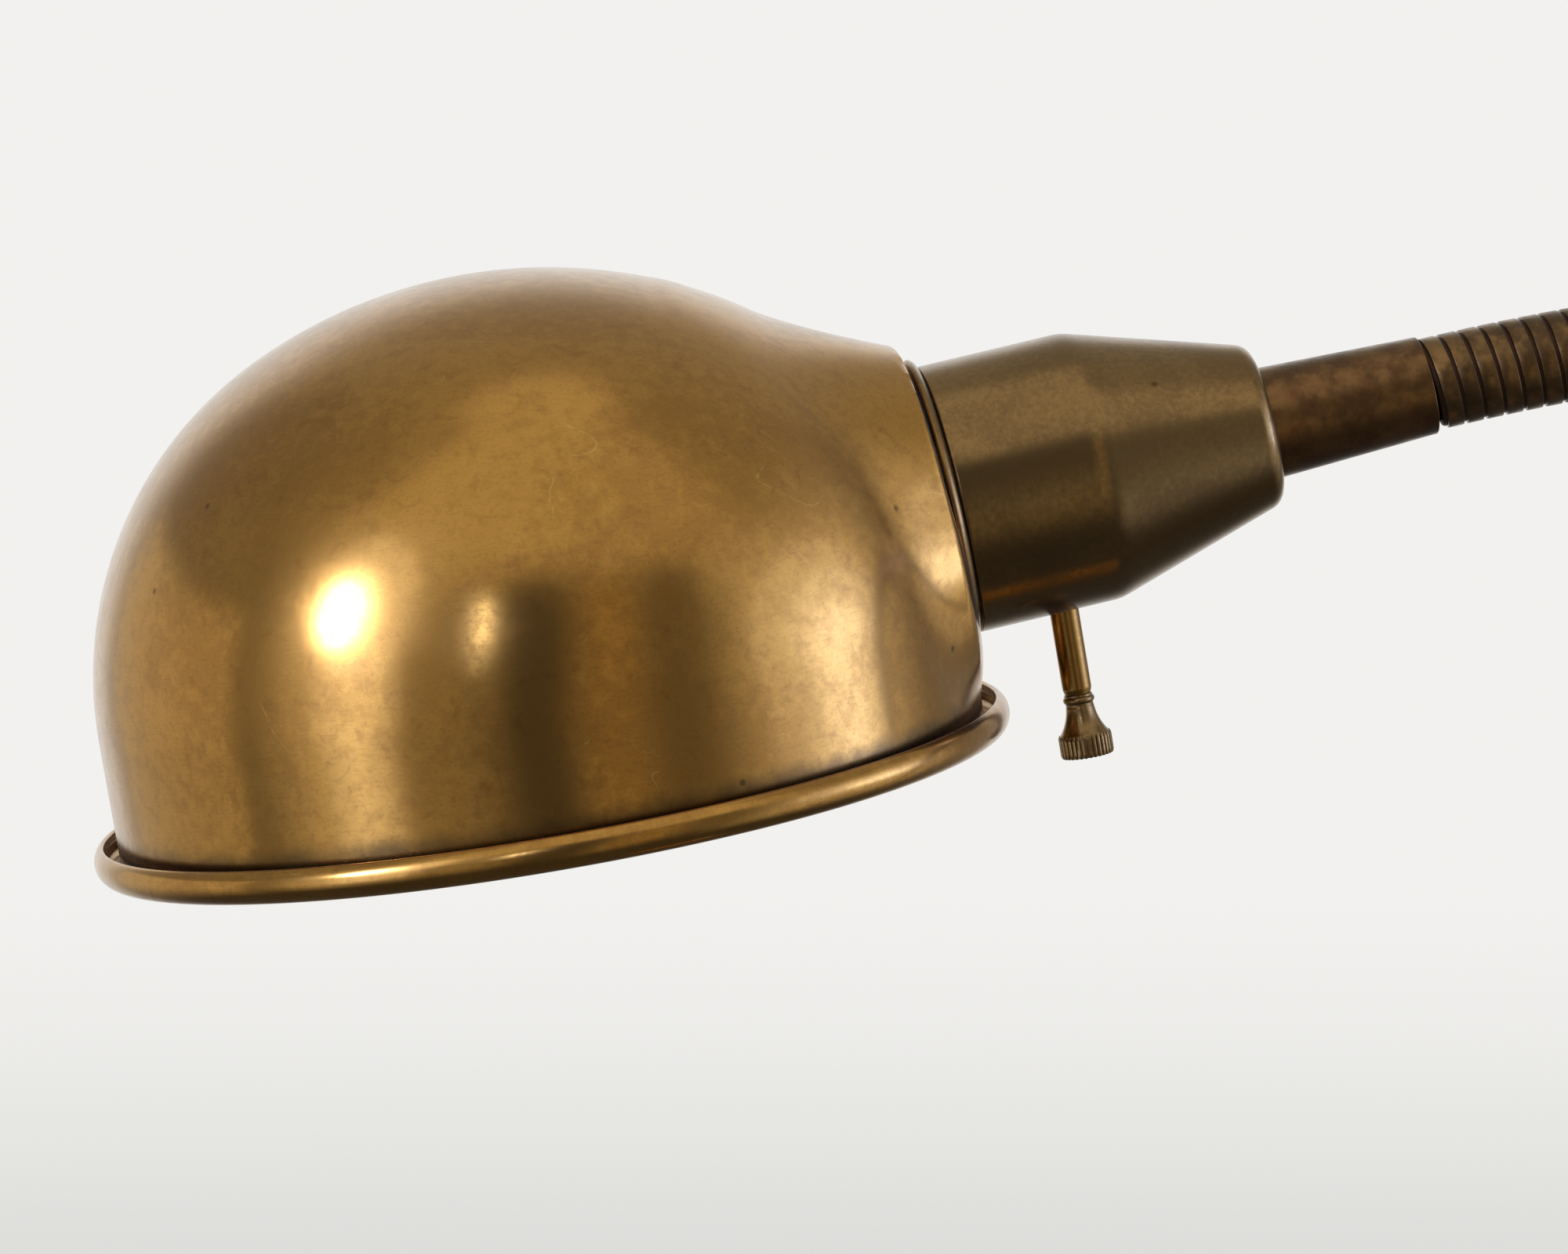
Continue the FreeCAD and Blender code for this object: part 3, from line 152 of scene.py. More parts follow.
class ArmSizes(bpy.types.PropertyGroup):
    reach: length("Length", "Gooseneck between its two ferrules", 400.0)
    head_bend: length("Bend at the head", "Bend radius of the gooseneck at the head", 667.0)
    turn: angle_of("Turn", "Angle between the pole and the lamp head", 102.94)
    links: number_of("Stretches", "Rigid stretches that carry the gooseneck", 10)
    pitch: length("Pitch", "One turn of the wound strip", 4.0)
    radius: length("Radius", "Gooseneck over its strip", 9.05)
    strip_width: length("Strip width", "Flat strip along the gooseneck", 3.3)
    strip_thickness: length("Strip thickness", "Flat strip, across", 1.1)
    strip_round: length("Strip round", "Rounded edge of the strip", 0.28)
    wire_width: length("Wire width", "Round wire that lies in the groove", 1.5)
    wire_depth: length("Wire depth", "Round wire below the strip's outer face", 0.5)
    steps: number_of("Steps", "Mesh steps in one turn", 40)
    from_far_end: number_of("From far end", "Stretch whose bend is reckoned from its far end", 7)


class HeadSizes(bpy.types.PropertyGroup):
    seat_gap: length("Seat gap", "Clearance between seated pieces", 0.3)
    ring_radius: length("Ring radius", "Flared ring between the shade and the cup", 28.1)
    ring_thickness: length("Ring thickness", "Flared ring", 1.8)
    sleeve_radius: length("Sleeve radius", "Threaded sleeve that carries the shade", 18.7)
    cup_radius: length("Cup radius", "Straight part of the socket cup", 26.3)
    cup_straight: length("Cup straight", "Length of the straight part", 28.3)
    cup_taper: length("Cup taper", "Length of the tapered part", 35.2)
    cup_end: length("Cup end", "Radius of the cup's small end", 15.5)
    cup_round: length("Cup round", "Rounded edge at the small end", 3.5)
    ferrule_radius: length("Ferrule radius", "Ferrule at its wide end", 10.9)
    mouth_radius: length("Mouth radius", "Ferrule at its mouth", 9.6)
    ferrule_length: length("Ferrule length", "Ferrule", 32.2)
    stem_place: length("Stem place", "Switch stem from the dome's axis", 103.4)
    stem_radius: length("Stem radius", "Switch stem", 2.85)
    stem_shown: length("Stem shown", "Switch stem outside the cup", 16.5)
    stem_lean: angle_of("Stem lean", "Switch stem off square", 3.3)
    knob_radius: length("Knob radius", "Grooved band of the switch knob", 5.2)
    waist_radius: length("Waist radius", "Switch knob beside its bead", 2.75)
    knob_step: length("Knob step", "Narrow collar above the knob's bead", 0.4)
    knob_bead: length("Knob bead", "Bead, along the knob", 1.3)
    knob_waist: length("Knob waist", "Waist under the bead, along the knob", 0.7)
    knob_flare: length("Knob flare", "From the waist to the grooved band", 5.5)
    knob_band: length("Knob band", "Grooved band, along the knob", 4.2)
    knob_teeth: number_of("Knob teeth", "Ridges round the switch knob", 32)
    bulb_radius: length("Bulb radius", "Glass at its widest", 30.0)


class StandSizes(bpy.types.PropertyGroup):
    edge: length("Edge", "Small rounded edge of turned metal", 0.5)
    rim_step: length("Rim step", "Width of the step inside the base's rim", 6.0)
    rim_rise: length("Rim rise", "Upright rim of the base cover", 13.0)
    crown_bend: length("Crown bend", "Radius of the base cover's crown", 331.2)
    seat_radius: length("Seat radius", "Flat seat at the middle of the base cover", 23.0)
    cover_wall: length("Cover wall", "Sheet of the base cover", 1.2)
    wheel_teeth: number_of("Wheel teeth", "Ridges round the thumb wheel", 36)


class LampColours(bpy.types.PropertyGroup):
    brass: colour("Brass", "Clean places of the aged brass", "#bf924b")
    brass_patina: colour("Brass patina", "Browned places of the aged brass", "#976c34")
    brass_spots: colour("Brass spots", "Dark specks in the patina", "#4f361c")
    bronze: colour("Bronze", "Clean places of the darkened cup", "#957a53")
    bronze_patina: colour("Bronze patina", "Browned places of the cup", "#6b543a")
    ferrule: colour("Ferrule", "Clean places of the reddish ferrule", "#80603c")
    ferrule_patina: colour("Ferrule patina", "Browned places of the ferrule", "#553820")
    strip: colour("Strip", "Clean places of the wound strip", "#8a6c48")
    strip_patina: colour("Strip patina", "Browned places of the wound strip", "#4f3a24")
    wire: colour("Wire", "Round wire in the groove", "#2b1b12")
    stem: colour("Stem", "Switch stem", "#9c7a3e")


class StageSettings(bpy.types.PropertyGroup):
    background_top: colour("Background", "Background behind the lamp head", "#f2f1ef")
    background_low: colour("Low background", "Background low in the picture", "#d1d2cf")
    floor: colour("Floor", "Pale floor", "#e5e4db")
    key: radiance_of("Key light", "Radiance of the soft box to the left of the camera", 24.0)
    glow: radiance_of("Key glow", "Radiance of the wide diffuser round the key light", 2.3)
    spill: radiance_of("Key spill", "Radiance of the strip below the key light", 1.3)
    spot: radiance_of("Spot light", "Radiance of the narrow light beside the key light", 5.0)
    side: radiance_of("Side light", "Radiance of the soft box on the right", 1.7)
    overhead: radiance_of("Overhead light", "Radiance of the sheet above, which isn't mirrored", 2.0)
    ambient: radiance_of("Ambient", "Even light of the pale room", 0.55)


# Places of the arm and the head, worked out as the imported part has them

class ArmPath:
    """The gooseneck's centre line: one arc per stretch, upright at the pole, bending less and less."""

    def __init__(self, sizes):
        self.count = sizes.links
        self.step = sizes.reach / sizes.links
        self.reach = sizes.reach
        end_bend = 1 / sizes.head_bend
        start_bend = 2 * sizes.turn / sizes.reach - end_bend
        x, z, heading = 0.0, span("lower_ferrule", 2)[1], 0.0
        self.starts = [(x, z, heading)]
        self.bends = []
        for number in range(self.count):
            share = (number + 0.5) / self.count
            bend = start_bend + (end_bend - start_bend) * share
            self.bends.append(bend)
            x, z, heading = self.along_arc(x, z, heading, bend, self.step)
            self.starts.append((x, z, heading))

    @staticmethod
    def along_arc(x, z, heading, bend, distance):
        """(x, z, heading) after a distance along an arc."""
        later = heading + bend * distance
        return (x - (math.cos(heading) - math.cos(later)) / bend,
                z + (math.sin(later) - math.sin(heading)) / bend, later)

    def spot(self, distance):
        """(x, z, heading) at a distance from the lower ferrule's mouth; straight past both ends."""
        if distance <= 0 or distance >= self.reach:
            x, z, heading = self.starts[0] if distance <= 0 else self.starts[-1]
            past = distance if distance <= 0 else distance - self.reach
            return x - math.sin(heading) * past, z + math.cos(heading) * past, heading
        number = min(int(distance / self.step), self.count - 1)
        x, z, heading = self.starts[number]
        return self.along_arc(x, z, heading, self.bends[number], distance - number * self.step)

    def point(self, distance):
        """The place at a distance from the lower ferrule's mouth."""
        x, z, _ = self.spot(distance)
        return Vector((x, 0.0, z))


def frame_at(origin, x_axis, z_axis):
    """A place whose Z runs along z_axis and whose X is x_axis, as a matrix."""
    y_axis = z_axis.cross(x_axis)
    place = Matrix((x_axis, y_axis, z_axis)).transposed().to_4x4()
    place.translation = origin
    return place


class LampPlaces:
    """Where the lamp's groups of pieces stand."""

    def __init__(self, scene):
        arm, head, shade = scene.lamp_arm, scene.lamp_head, scene.lamp_shade
        self.path = ArmPath(arm)
        x, z, heading = self.path.starts[-1]
        rise = heading - math.pi / 2
        back = Vector((math.cos(rise), 0.0, math.sin(rise)))
        down = Vector((math.sin(rise), 0.0, -math.cos(rise)))
        self.ring_front = shade.neck_reach + head.seat_gap
        self.cup_front = self.ring_front + head.ring_thickness + head.seat_gap
        self.cup_shoulder = self.cup_front + head.cup_straight
        self.cup_back = self.cup_shoulder + head.cup_taper
        middle = Vector((x, 0.0, z)) - back * (self.cup_back + head.ferrule_length)
        self.socket = frame_at(middle, down, back)
        tilt = rise - shade.neck_rise
        along = Vector((math.cos(tilt), 0.0, math.sin(tilt)))
        up = Vector((-math.sin(tilt), 0.0, math.cos(tilt)))
        self.shade = frame_at(middle - up * shade.neck_height, along, up)
        lean = head.stem_lean
        out = down * math.cos(lean) - back * math.sin(lean)
        across = -(back * math.cos(lean) + down * math.sin(lean))
        self.stem = frame_at(middle + back * head.stem_place, across, out)


def along_x(origin_x, origin_z):
    """A place on the pole's side whose Z points along +X."""
    return frame_at(Vector((origin_x, 0.0, origin_z)), Vector((0, 0, -1)), Vector((1, 0, 0)))


# Outlines and turned meshes

def bow(start, end, radius, steps):
    """Points of a round stretch between two corners; a positive radius swells to its left."""
    start, end = Vector(start), Vector(end)
    chord = end - start
    across = Vector((-chord.y, chord.x)).normalized()
    size = abs(radius)
    depth = math.sqrt(max(size ** 2 - (chord.length / 2) ** 2, 0.0))
    centre = (start + end) / 2 - across * depth * math.copysign(1, radius)
    first = math.atan2(start.y - centre.y, start.x - centre.x)
    last = math.atan2(end.y - centre.y, end.x - centre.x)
    swing = (last - first + math.pi) % (2 * math.pi) - math.pi
    angles = [first + swing * k / steps for k in range(steps + 1)]
    return [(centre.x + size * math.cos(a), centre.y + size * math.sin(a)) for a in angles]


def eased(corners):
    """A closed outline in which a corner given as (radius, height, round) is rounded off.

    A round takes no more than 0.45 of a side. Two more points beside it keep the flats next to it flat
    in the shading."""
    most, margin, margin_of_side, degrees_per_step = 0.45, 0.3, 0.04, 15
    points = []
    count = len(corners)
    for index, corner in enumerate(corners):
        here = Vector(corner[:2])
        if len(corner) < 3:
            points.append(tuple(here))
            continue
        before = Vector(corners[index - 1][:2]) - here
        after = Vector(corners[(index + 1) % count][:2]) - here
        turn = math.pi - before.angle(after)
        cut = corner[2] * math.tan(turn / 2)
        cut = min(cut, before.length * most, after.length * most)
        size = cut / math.tan(turn / 2)
        hold = min(size * margin, before.length * margin_of_side, after.length * margin_of_side)
        first, last = here + before.normalized() * cut, here + after.normalized() * cut
        middle = here + (before.normalized() + after.normalized()).normalized() * size / math.cos(turn / 2)
        steps = max(2, math.ceil(math.degrees(turn) / degrees_per_step))
        points.append(tuple(here + before.normalized() * (cut + hold)))
        for step in range(steps + 1):
            share = step / steps
            ray = (first - middle).normalized().slerp((last - middle).normalized(), share)
            points.append(tuple(middle + ray * size))
        points.append(tuple(here + after.normalized() * (cut + hold)))
    return points


def new_piece(name, points, faces, material):
    """A smooth mesh object from points and faces in the shared frame."""
    mesh = bpy.data.meshes.new(name)
    mesh.from_pydata([tuple(p) for p in points], [], faces)
    mesh.materials.append(material)
    return shown(name, mesh)


def shown(name, mesh):
    """Put a finished mesh in the scene, smooth but for its sharp edges."""
    mesh.update()
    mesh.shade_smooth()
    mesh.set_sharp_from_angle(angle=SHARP)
    piece = bpy.data.objects.new(name, mesh)
    bpy.context.scene.collection.objects.link(piece)
    return piece


def turned(name, outline, place, material, steps):
    """Turn a closed outline of (radius, height) points about the Z axis of a place."""
    area = sum(a[0] * b[1] - b[0] * a[1] for a, b in zip(outline, outline[1:] + outline[:1]))
    if area < 0:
        outline = outline[::-1]
    points, rings = [], []
    for radius, height in outline:
        if radius < 1e-7:
            rings.append([len(points)] * steps)
            points.append(place @ Vector((0.0, 0.0, height)))
            continue
        rings.append(list(range(len(points), len(points) + steps)))
        for step in range(steps):
            angle = 2 * math.pi * step / steps
            points.append(place @ Vector((radius * math.cos(angle), radius * math.sin(angle), height)))
    faces = []
    for a, b in zip(rings, rings[1:] + rings[:1]):
        for step in range(steps):
            later = (step + 1) % steps
            corners = [a[step], a[later], b[later], b[step]]
            corners = [c for k, c in enumerate(corners) if c not in corners[:k]]
            if len(corners) > 2:
                faces.append(corners)
    return new_piece(name, points, faces, material)


def merged(name, *pieces):
    """Join pieces into one object."""
    with bpy.context.temp_override(active_object=pieces[0], selected_editable_objects=list(pieces)):
        bpy.ops.object.join()
    pieces[0].name = name
    return pieces[0]


def settle(piece, body, slot, *nodes):
    """Let a piece ride on a body and stand for CAD nodes; the slot is not used."""
    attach(piece, body)
    if nodes:
        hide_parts(*nodes)
    return piece


def turn_piece(name, outline, place, material, steps, body, slot):
    """Turn a piece in a finish, and let it ride and stand for the CAD node of its name; its slot is not used.
    """
    return settle(turned(name, outline, place, finish(material), steps), body, slot, name)


# Node trees

def plug(tree, added, inputs):
    """Give a node its inputs: each takes a value, a socket, or a node, of which it gets the first output."""
    in_use = {socket.name: socket for socket in reversed(added.inputs) if socket.enabled}
    for key, value in inputs.items():
        socket = added.inputs[key] if isinstance(key, int) else in_use[key]
        if isinstance(value, bpy.types.Node):
            value = next(output for output in value.outputs if output.enabled)
        if isinstance(value, bpy.types.NodeSocket):
            tree.links.new(value, socket)
        else:
            socket.default_value = value
    return added


def node(tree, kind, inputs=None, **options):
    """Add a node with its options and its inputs."""
    added = tree.nodes.new(kind)
    for key, value in options.items():
        setattr(added, key, value)
    return plug(tree, added, inputs or {})


def new_tree(name, **inputs):
    """A geometry node tree with named inputs; returns it with the sockets that give them."""
    tree = bpy.data.node_groups.new(name, "GeometryNodeTree")
    tree.interface.new_socket("Geometry", in_out="OUTPUT", socket_type="NodeSocketGeometry")
    tree.interface.new_socket("Geometry", in_out="INPUT", socket_type="NodeSocketGeometry")
    for label, kind in inputs.items():
        tree.interface.new_socket(label.replace("_", " "), in_out="INPUT", socket_type=kind)
    return tree, node(tree, "NodeGroupInput").outputs


def finish_tree(tree, geometry, material):
    """End a tree with Realize Instances and Set Material."""
    real = node(tree, "GeometryNodeRealizeInstances", {"Geometry": geometry})
    painted = node(tree, "GeometryNodeSetMaterial", {"Geometry": real, "Material": material})
    node(tree, "NodeGroupOutput", {"Geometry": painted})


def grown(name, tree, source, place=None, **values):
    """The result of a tree on a source mesh, as a plain mesh object."""
    holder = bpy.data.objects.new(name + "_source", source)
    bpy.context.scene.collection.objects.link(holder)
    modifier = holder.modifiers.new("Pattern", "NODES")
    modifier.node_group = tree
    for item in tree.interface.items_tree:
        key = item.name.replace(" ", "_")
        if item.in_out == "INPUT" and key in values:
            modifier[item.identifier] = values[key]
    evaluated = holder.evaluated_get(bpy.context.evaluated_depsgraph_get())
    mesh = bpy.data.meshes.new_from_object(evaluated)
    bpy.data.objects.remove(holder)
    mesh.name = name
    if place is not None:
        mesh.transform(place)
    return shown(name, mesh)


FLOAT, WHOLE, MATERIAL = "NodeSocketFloat", "NodeSocketInt", "NodeSocketMaterial"


def winding_tree():
    """Winds a strip with rounded edges round a path, its flat side outwards."""
    tree, given = new_tree("Winding", Pitch=FLOAT, Radius=FLOAT, Width=FLOAT, Thickness=FLOAT,
                                   Round=FLOAT, Start_Turn=FLOAT, Steps=WHOLE, Material=MATERIAL)
    curve = node(tree, "GeometryNodeMeshToCurve", {"Mesh": given["Geometry"]})
    whole = node(tree, "GeometryNodeCurveLength", {"Curve": curve})
    turns = node(tree, "ShaderNodeMath", {0: whole, 1: given["Pitch"]}, operation="DIVIDE")
    count = node(tree, "ShaderNodeMath", {0: turns, 1: given["Steps"]}, operation="MULTIPLY")
    path = node(tree, "GeometryNodeResampleCurve", {"Curve": curve, "Count": count}, mode="COUNT")
    distance = node(tree, "GeometryNodeSplineParameter").outputs["Length"]
    share = node(tree, "ShaderNodeMath", {0: distance, 1: given["Pitch"]}, operation="DIVIDE")
    turn = node(tree, "ShaderNodeMath", {0: share, 1: given["Start Turn"]}, operation="ADD")
    angle = node(tree, "ShaderNodeMath", {0: turn, 1: 2 * math.pi}, operation="MULTIPLY")
    cosine = node(tree, "ShaderNodeMath", {0: angle}, operation="COSINE")
    sine = node(tree, "ShaderNodeMath", {0: angle}, operation="SINE")
    heading = node(tree, "GeometryNodeInputTangent")
    outer = node(tree, "ShaderNodeVectorMath", {0: (0.0, 1.0, 0.0), 1: heading}, operation="CROSS_PRODUCT")
    upper = node(tree, "ShaderNodeVectorMath", {0: outer, "Scale": cosine}, operation="SCALE")
    aside = node(tree, "ShaderNodeVectorMath", {0: (0.0, 1.0, 0.0), "Scale": sine}, operation="SCALE")
    ray = node(tree, "ShaderNodeVectorMath", {0: upper, 1: aside}, operation="ADD")
    kept = tree.nodes.new("GeometryNodeCaptureAttribute")
    kept.capture_items.new("VECTOR", "Ray")
    plug(tree, kept, {"Geometry": path, "Ray": ray})
    half = node(tree, "ShaderNodeMath", {0: given["Thickness"], 1: -0.5}, operation="MULTIPLY")
    middle = node(tree, "ShaderNodeMath", {0: given["Radius"], 1: half}, operation="ADD")
    ray = kept.outputs["Ray"]
    offset = node(tree, "ShaderNodeVectorMath", {0: ray, "Scale": middle}, operation="SCALE")
    wound = node(tree, "GeometryNodeSetPosition", {"Geometry": kept, "Offset": offset})
    facing = node(tree, "GeometryNodeSetCurveNormal", {"Curve": wound, "Normal": ray}, mode="FREE")
    shape = node(tree, "GeometryNodeCurvePrimitiveQuadrilateral", {"Width": given["Thickness"],
                                                                   "Height": given["Width"]})
    soft = node(tree, "GeometryNodeFilletCurve",
                {"Curve": shape, "Count": 2, "Radius": given["Round"], "Limit Radius": True}, mode="POLY")
    strip = node(tree, "GeometryNodeCurveToMesh", {"Curve": facing, "Profile Curve": soft, "Fill Caps": True})
    finish_tree(tree, strip, given["Material"])
    return tree


def ridge_tree():
    """Stands rounded ridges in a ring, as a straight knurl has them."""
    tree, given = new_tree("Ridges", Count=WHOLE, Radius=FLOAT, Width=FLOAT, Depth=FLOAT,
                                   Length=FLOAT, Material=MATERIAL)
    top = node(tree, "ShaderNodeCombineXYZ", {"Z": given["Length"]})
    line = node(tree, "GeometryNodeCurvePrimitiveLine", {"End": top})
    path = node(tree, "GeometryNodeResampleCurve", {"Curve": line, "Count": 9}, mode="COUNT")
    factor = node(tree, "GeometryNodeSplineParameter").outputs["Factor"]
    rise = node(tree, "ShaderNodeMapRange", {"Value": factor, "From Max": 0.12, "To Min": 0.55})
    fall = node(tree, "ShaderNodeMapRange", {"Value": factor, "From Min": 0.88, "To Min": 1.0,
                                             "To Max": 0.55})
    size = node(tree, "ShaderNodeMath", {0: rise, 1: fall}, operation="MINIMUM")
    shape = node(tree, "GeometryNodeCurvePrimitiveQuadrilateral", {"Width": given["Depth"],
                                                                   "Height": given["Width"]})
    bend = node(tree, "ShaderNodeMath", {0: given["Width"], 1: 0.3}, operation="MULTIPLY")
    soft = node(tree, "GeometryNodeFilletCurve",
                {"Curve": shape, "Count": 2, "Radius": bend, "Limit Radius": True}, mode="POLY")
    ridge = node(tree, "GeometryNodeCurveToMesh",
                 {"Curve": path, "Profile Curve": soft, "Scale": size, "Fill Caps": True})
    ring = node(tree, "GeometryNodeMeshCircle", {"Vertices": given["Count"], "Radius": given["Radius"]},
                fill_type="NONE")
    turn = node(tree, "ShaderNodeMath", {0: 2 * math.pi, 1: given["Count"]}, operation="DIVIDE")
    index = node(tree, "GeometryNodeInputIndex")
    angle = node(tree, "ShaderNodeMath", {0: index, 1: turn}, operation="MULTIPLY")
    facing = node(tree, "ShaderNodeCombineXYZ", {"Z": angle})
    spin = node(tree, "FunctionNodeEulerToRotation", {0: facing})
    ridges = node(tree, "GeometryNodeInstanceOnPoints", {"Points": ring, "Instance": ridge, "Rotation": spin})
    finish_tree(tree, ridges, given["Material"])
    return tree


def polyline(name, points):
    """A mesh of edges only, for a tree to follow."""
    mesh = bpy.data.meshes.new(name)
    mesh.from_pydata([tuple(p) for p in points], [(k, k + 1) for k in range(len(points) - 1)], [])
    return mesh


# Finishes

RGBA = {"data_type": "RGBA"}
SMOOTH = {"interpolation_type": "SMOOTHSTEP"}


def new_finish(name, **constants):
    """A material with a Principled shader whose constants stand on its own sockets."""
    material = bpy.data.materials.new(name)
    material.use_nodes = True
    tree = material.node_tree
    tree.nodes.clear()
    shader = node(tree, "ShaderNodeBsdfPrincipled",
                  {key.replace("_", " "): value for key, value in constants.items()})
    node(tree, "ShaderNodeOutputMaterial", {"Surface": shader})
    return material, tree, shader


def local_coordinates(tree, place):
    """Object coordinates turned into a piece's own frame, so a pattern follows how it was turned."""
    inverse = place.inverted()
    here = node(tree, "ShaderNodeTexCoord").outputs["Object"]
    return node(tree, "ShaderNodeMapping", {"Vector": here, "Location": inverse.translation,
                                            "Rotation": inverse.to_euler()})


def round_the_axis(tree, where, radius):
    """Coordinates that run round a turned piece and along its side, its radius and its height."""
    axes = node(tree, "ShaderNodeSeparateXYZ", {0: where}).outputs
    turn = node(tree, "ShaderNodeMath", {0: axes["Y"], 1: axes["X"]}, operation="ARCTAN2")
    around = node(tree, "ShaderNodeMath", {0: turn, 1: radius}, operation="MULTIPLY")
    flat = node(tree, "ShaderNodeCombineXYZ", {"X": axes["X"], "Y": axes["Y"]})
    out = node(tree, "ShaderNodeVectorMath", {0: flat}, operation="LENGTH")
    along = node(tree, "ShaderNodeMath", {0: axes["Z"], 1: out}, operation="SUBTRACT")
    return node(tree, "ShaderNodeCombineXYZ", {"X": around, "Y": along}), out, axes["Z"]


def patches(tree, where, size, detail, rough, low, high, strength=1.0, distortion=0.0):
    """A mask of noise that rises between two levels to its strength; its grain is in millimetres."""
    grain = node(tree, "ShaderNodeTexNoise", {"Vector": where, "Scale": 1 / (size * MM), "Detail": detail,
                                              "Roughness": rough, "Distortion": distortion})
    return node(tree, "ShaderNodeMapRange", {"Value": grain, "From Min": low, "From Max": high,
                                             "To Max": strength}, **SMOOTH)


def aged_metal(name, place, radius, clean, patina, roughness, cloud=30.0, mottle=3.0, depth=0.5, coat=0.4,
               haze=0.08, scratched=0.0, corner_shade_height=0.0):
    """Copper alloy with an aged, lacquered surface, between two of the lamp's colours.

    The eye sees faint clouds of brown patina, soft mottles, fine dark dashes that lie the way the piece
    was spun or turned, a few dark spots, and a thin clear lacquer with a dusty bloom at grazing angles.
    Sizes are in millimetres, also the height of a dark band of painted shade in the corner at the foot of the
    piece."""
    colours = bpy.context.scene.lamp_colours
    spots = colours.brass_spots
    material, tree, shader = new_finish(name, Metallic=1.0, Coat_Weight=coat, Coat_Roughness=0.2,
                                        Sheen_Weight=haze, Sheen_Roughness=0.35)
    where = local_coordinates(tree, place)
    turned_way, out, height = round_the_axis(tree, where, radius)
    clouds = node(tree, "ShaderNodeTexNoise", {"Vector": where, "Scale": 1 / (cloud * MM), "Detail": 3.0,
                                               "Roughness": 0.5, "Distortion": 0.4})
    mottles = node(tree, "ShaderNodeTexNoise", {"Vector": where, "Scale": 1 / (mottle * MM), "Detail": 5.0,
                                                "Roughness": 0.65})
    together = node(tree, "ShaderNodeMix", {"Factor": 0.5, "A": clouds, "B": mottles})
    browned = node(tree, "ShaderNodeMapRange", {"Value": together, "From Min": 0.4, "From Max": 0.6,
                                                "To Max": depth}, **SMOOTH)
    tone = node(tree, "ShaderNodeMix", {"Factor": browned, "A": getattr(colours, clean),
                                        "B": getattr(colours, patina)}, **RGBA)
    # Real dashes are finer: they are drawn about 3 mm long and 0.4 mm wide, as narrow as the render shows
    dash = 0.2
    stretched = node(tree, "ShaderNodeMapping", {"Vector": turned_way, "Scale": (0.14, 1.0, 1.0)})
    dashes = patches(tree, stretched, size=0.45, detail=3.0, rough=0.7, low=0.5, high=0.72, strength=dash)
    grains = patches(tree, where, size=0.7, detail=2.0, rough=0.7, low=0.52, high=0.72, strength=dash * 0.9)
    speckle = node(tree, "ShaderNodeMath", {0: dashes, 1: grains}, operation="MAXIMUM")
    tone = node(tree, "ShaderNodeMix", {"Factor": speckle, "A": tone, "B": spots}, **RGBA)
    blush = patches(tree, where, size=mottle * 1.7, detail=3.0, rough=0.6, low=0.56, high=0.68,
                    strength=depth * 0.35, distortion=1.0)
    tone = node(tree, "ShaderNodeMix", {"Factor": blush, "A": tone, "B": linear("#7a4a30")}, **RGBA)
    spot_spacing = 19 * MM
    cells = node(tree, "ShaderNodeTexVoronoi", {"Vector": where, "Scale": 1 / spot_spacing})
    stains = node(tree, "ShaderNodeMapRange", {"Value": cells, "From Min": 0.015, "From Max": 0.05,
                                               "To Min": 0.75, "To Max": 0.0}, **SMOOTH)
    tone = node(tree, "ShaderNodeMix", {"Factor": stains, "A": tone, "B": spots}, **RGBA)
    dull = node(tree, "ShaderNodeMath", {0: browned, 1: speckle}, operation="ADD")
    # Painted shade: a dark band at the foot of the wall, just above the rolled rim, where the rim shades the
    # corner
    if corner_shade_height:
        corner_shade = painted_corner_shade(tree, where, out, height, radius, corner_shade_height)
        tone = node(tree, "ShaderNodeMix", {"Factor": corner_shade, "A": tone, "B": linear("#2c261c")}, **RGBA)
        dull = node(tree, "ShaderNodeMath", {0: dull, 1: corner_shade}, operation="ADD")
    if scratched:
        scratch = long_scratches(tree, where, scratched)
        tone = node(tree, "ShaderNodeMix", {"Factor": scratch, "A": tone, "B": linear("#e2c68c")}, **RGBA)
        dull = node(tree, "ShaderNodeMath", {0: dull, 1: scratch}, operation="ADD")
    rough = node(tree, "ShaderNodeMapRange", {"Value": dull, "From Max": 1.2, "To Min": roughness,
                                              "To Max": roughness + 0.14}, **SMOOTH)
    waves = node(tree, "ShaderNodeTexNoise", {"Vector": where, "Scale": 1 / (7 * MM), "Detail": 1.0,
                                              "Roughness": 0.55})
    swell = node(tree, "ShaderNodeBump", {"Height": waves, "Strength": 0.25, "Distance": 0.02 * MM})
    pits = node(tree, "ShaderNodeBump", {"Height": speckle, "Strength": 0.1, "Distance": 0.03 * MM,
                                         "Normal": swell}, invert=True)
    plug(tree, shader, {"Base Color": tone, "Roughness": rough, "Normal": pits})
    return material


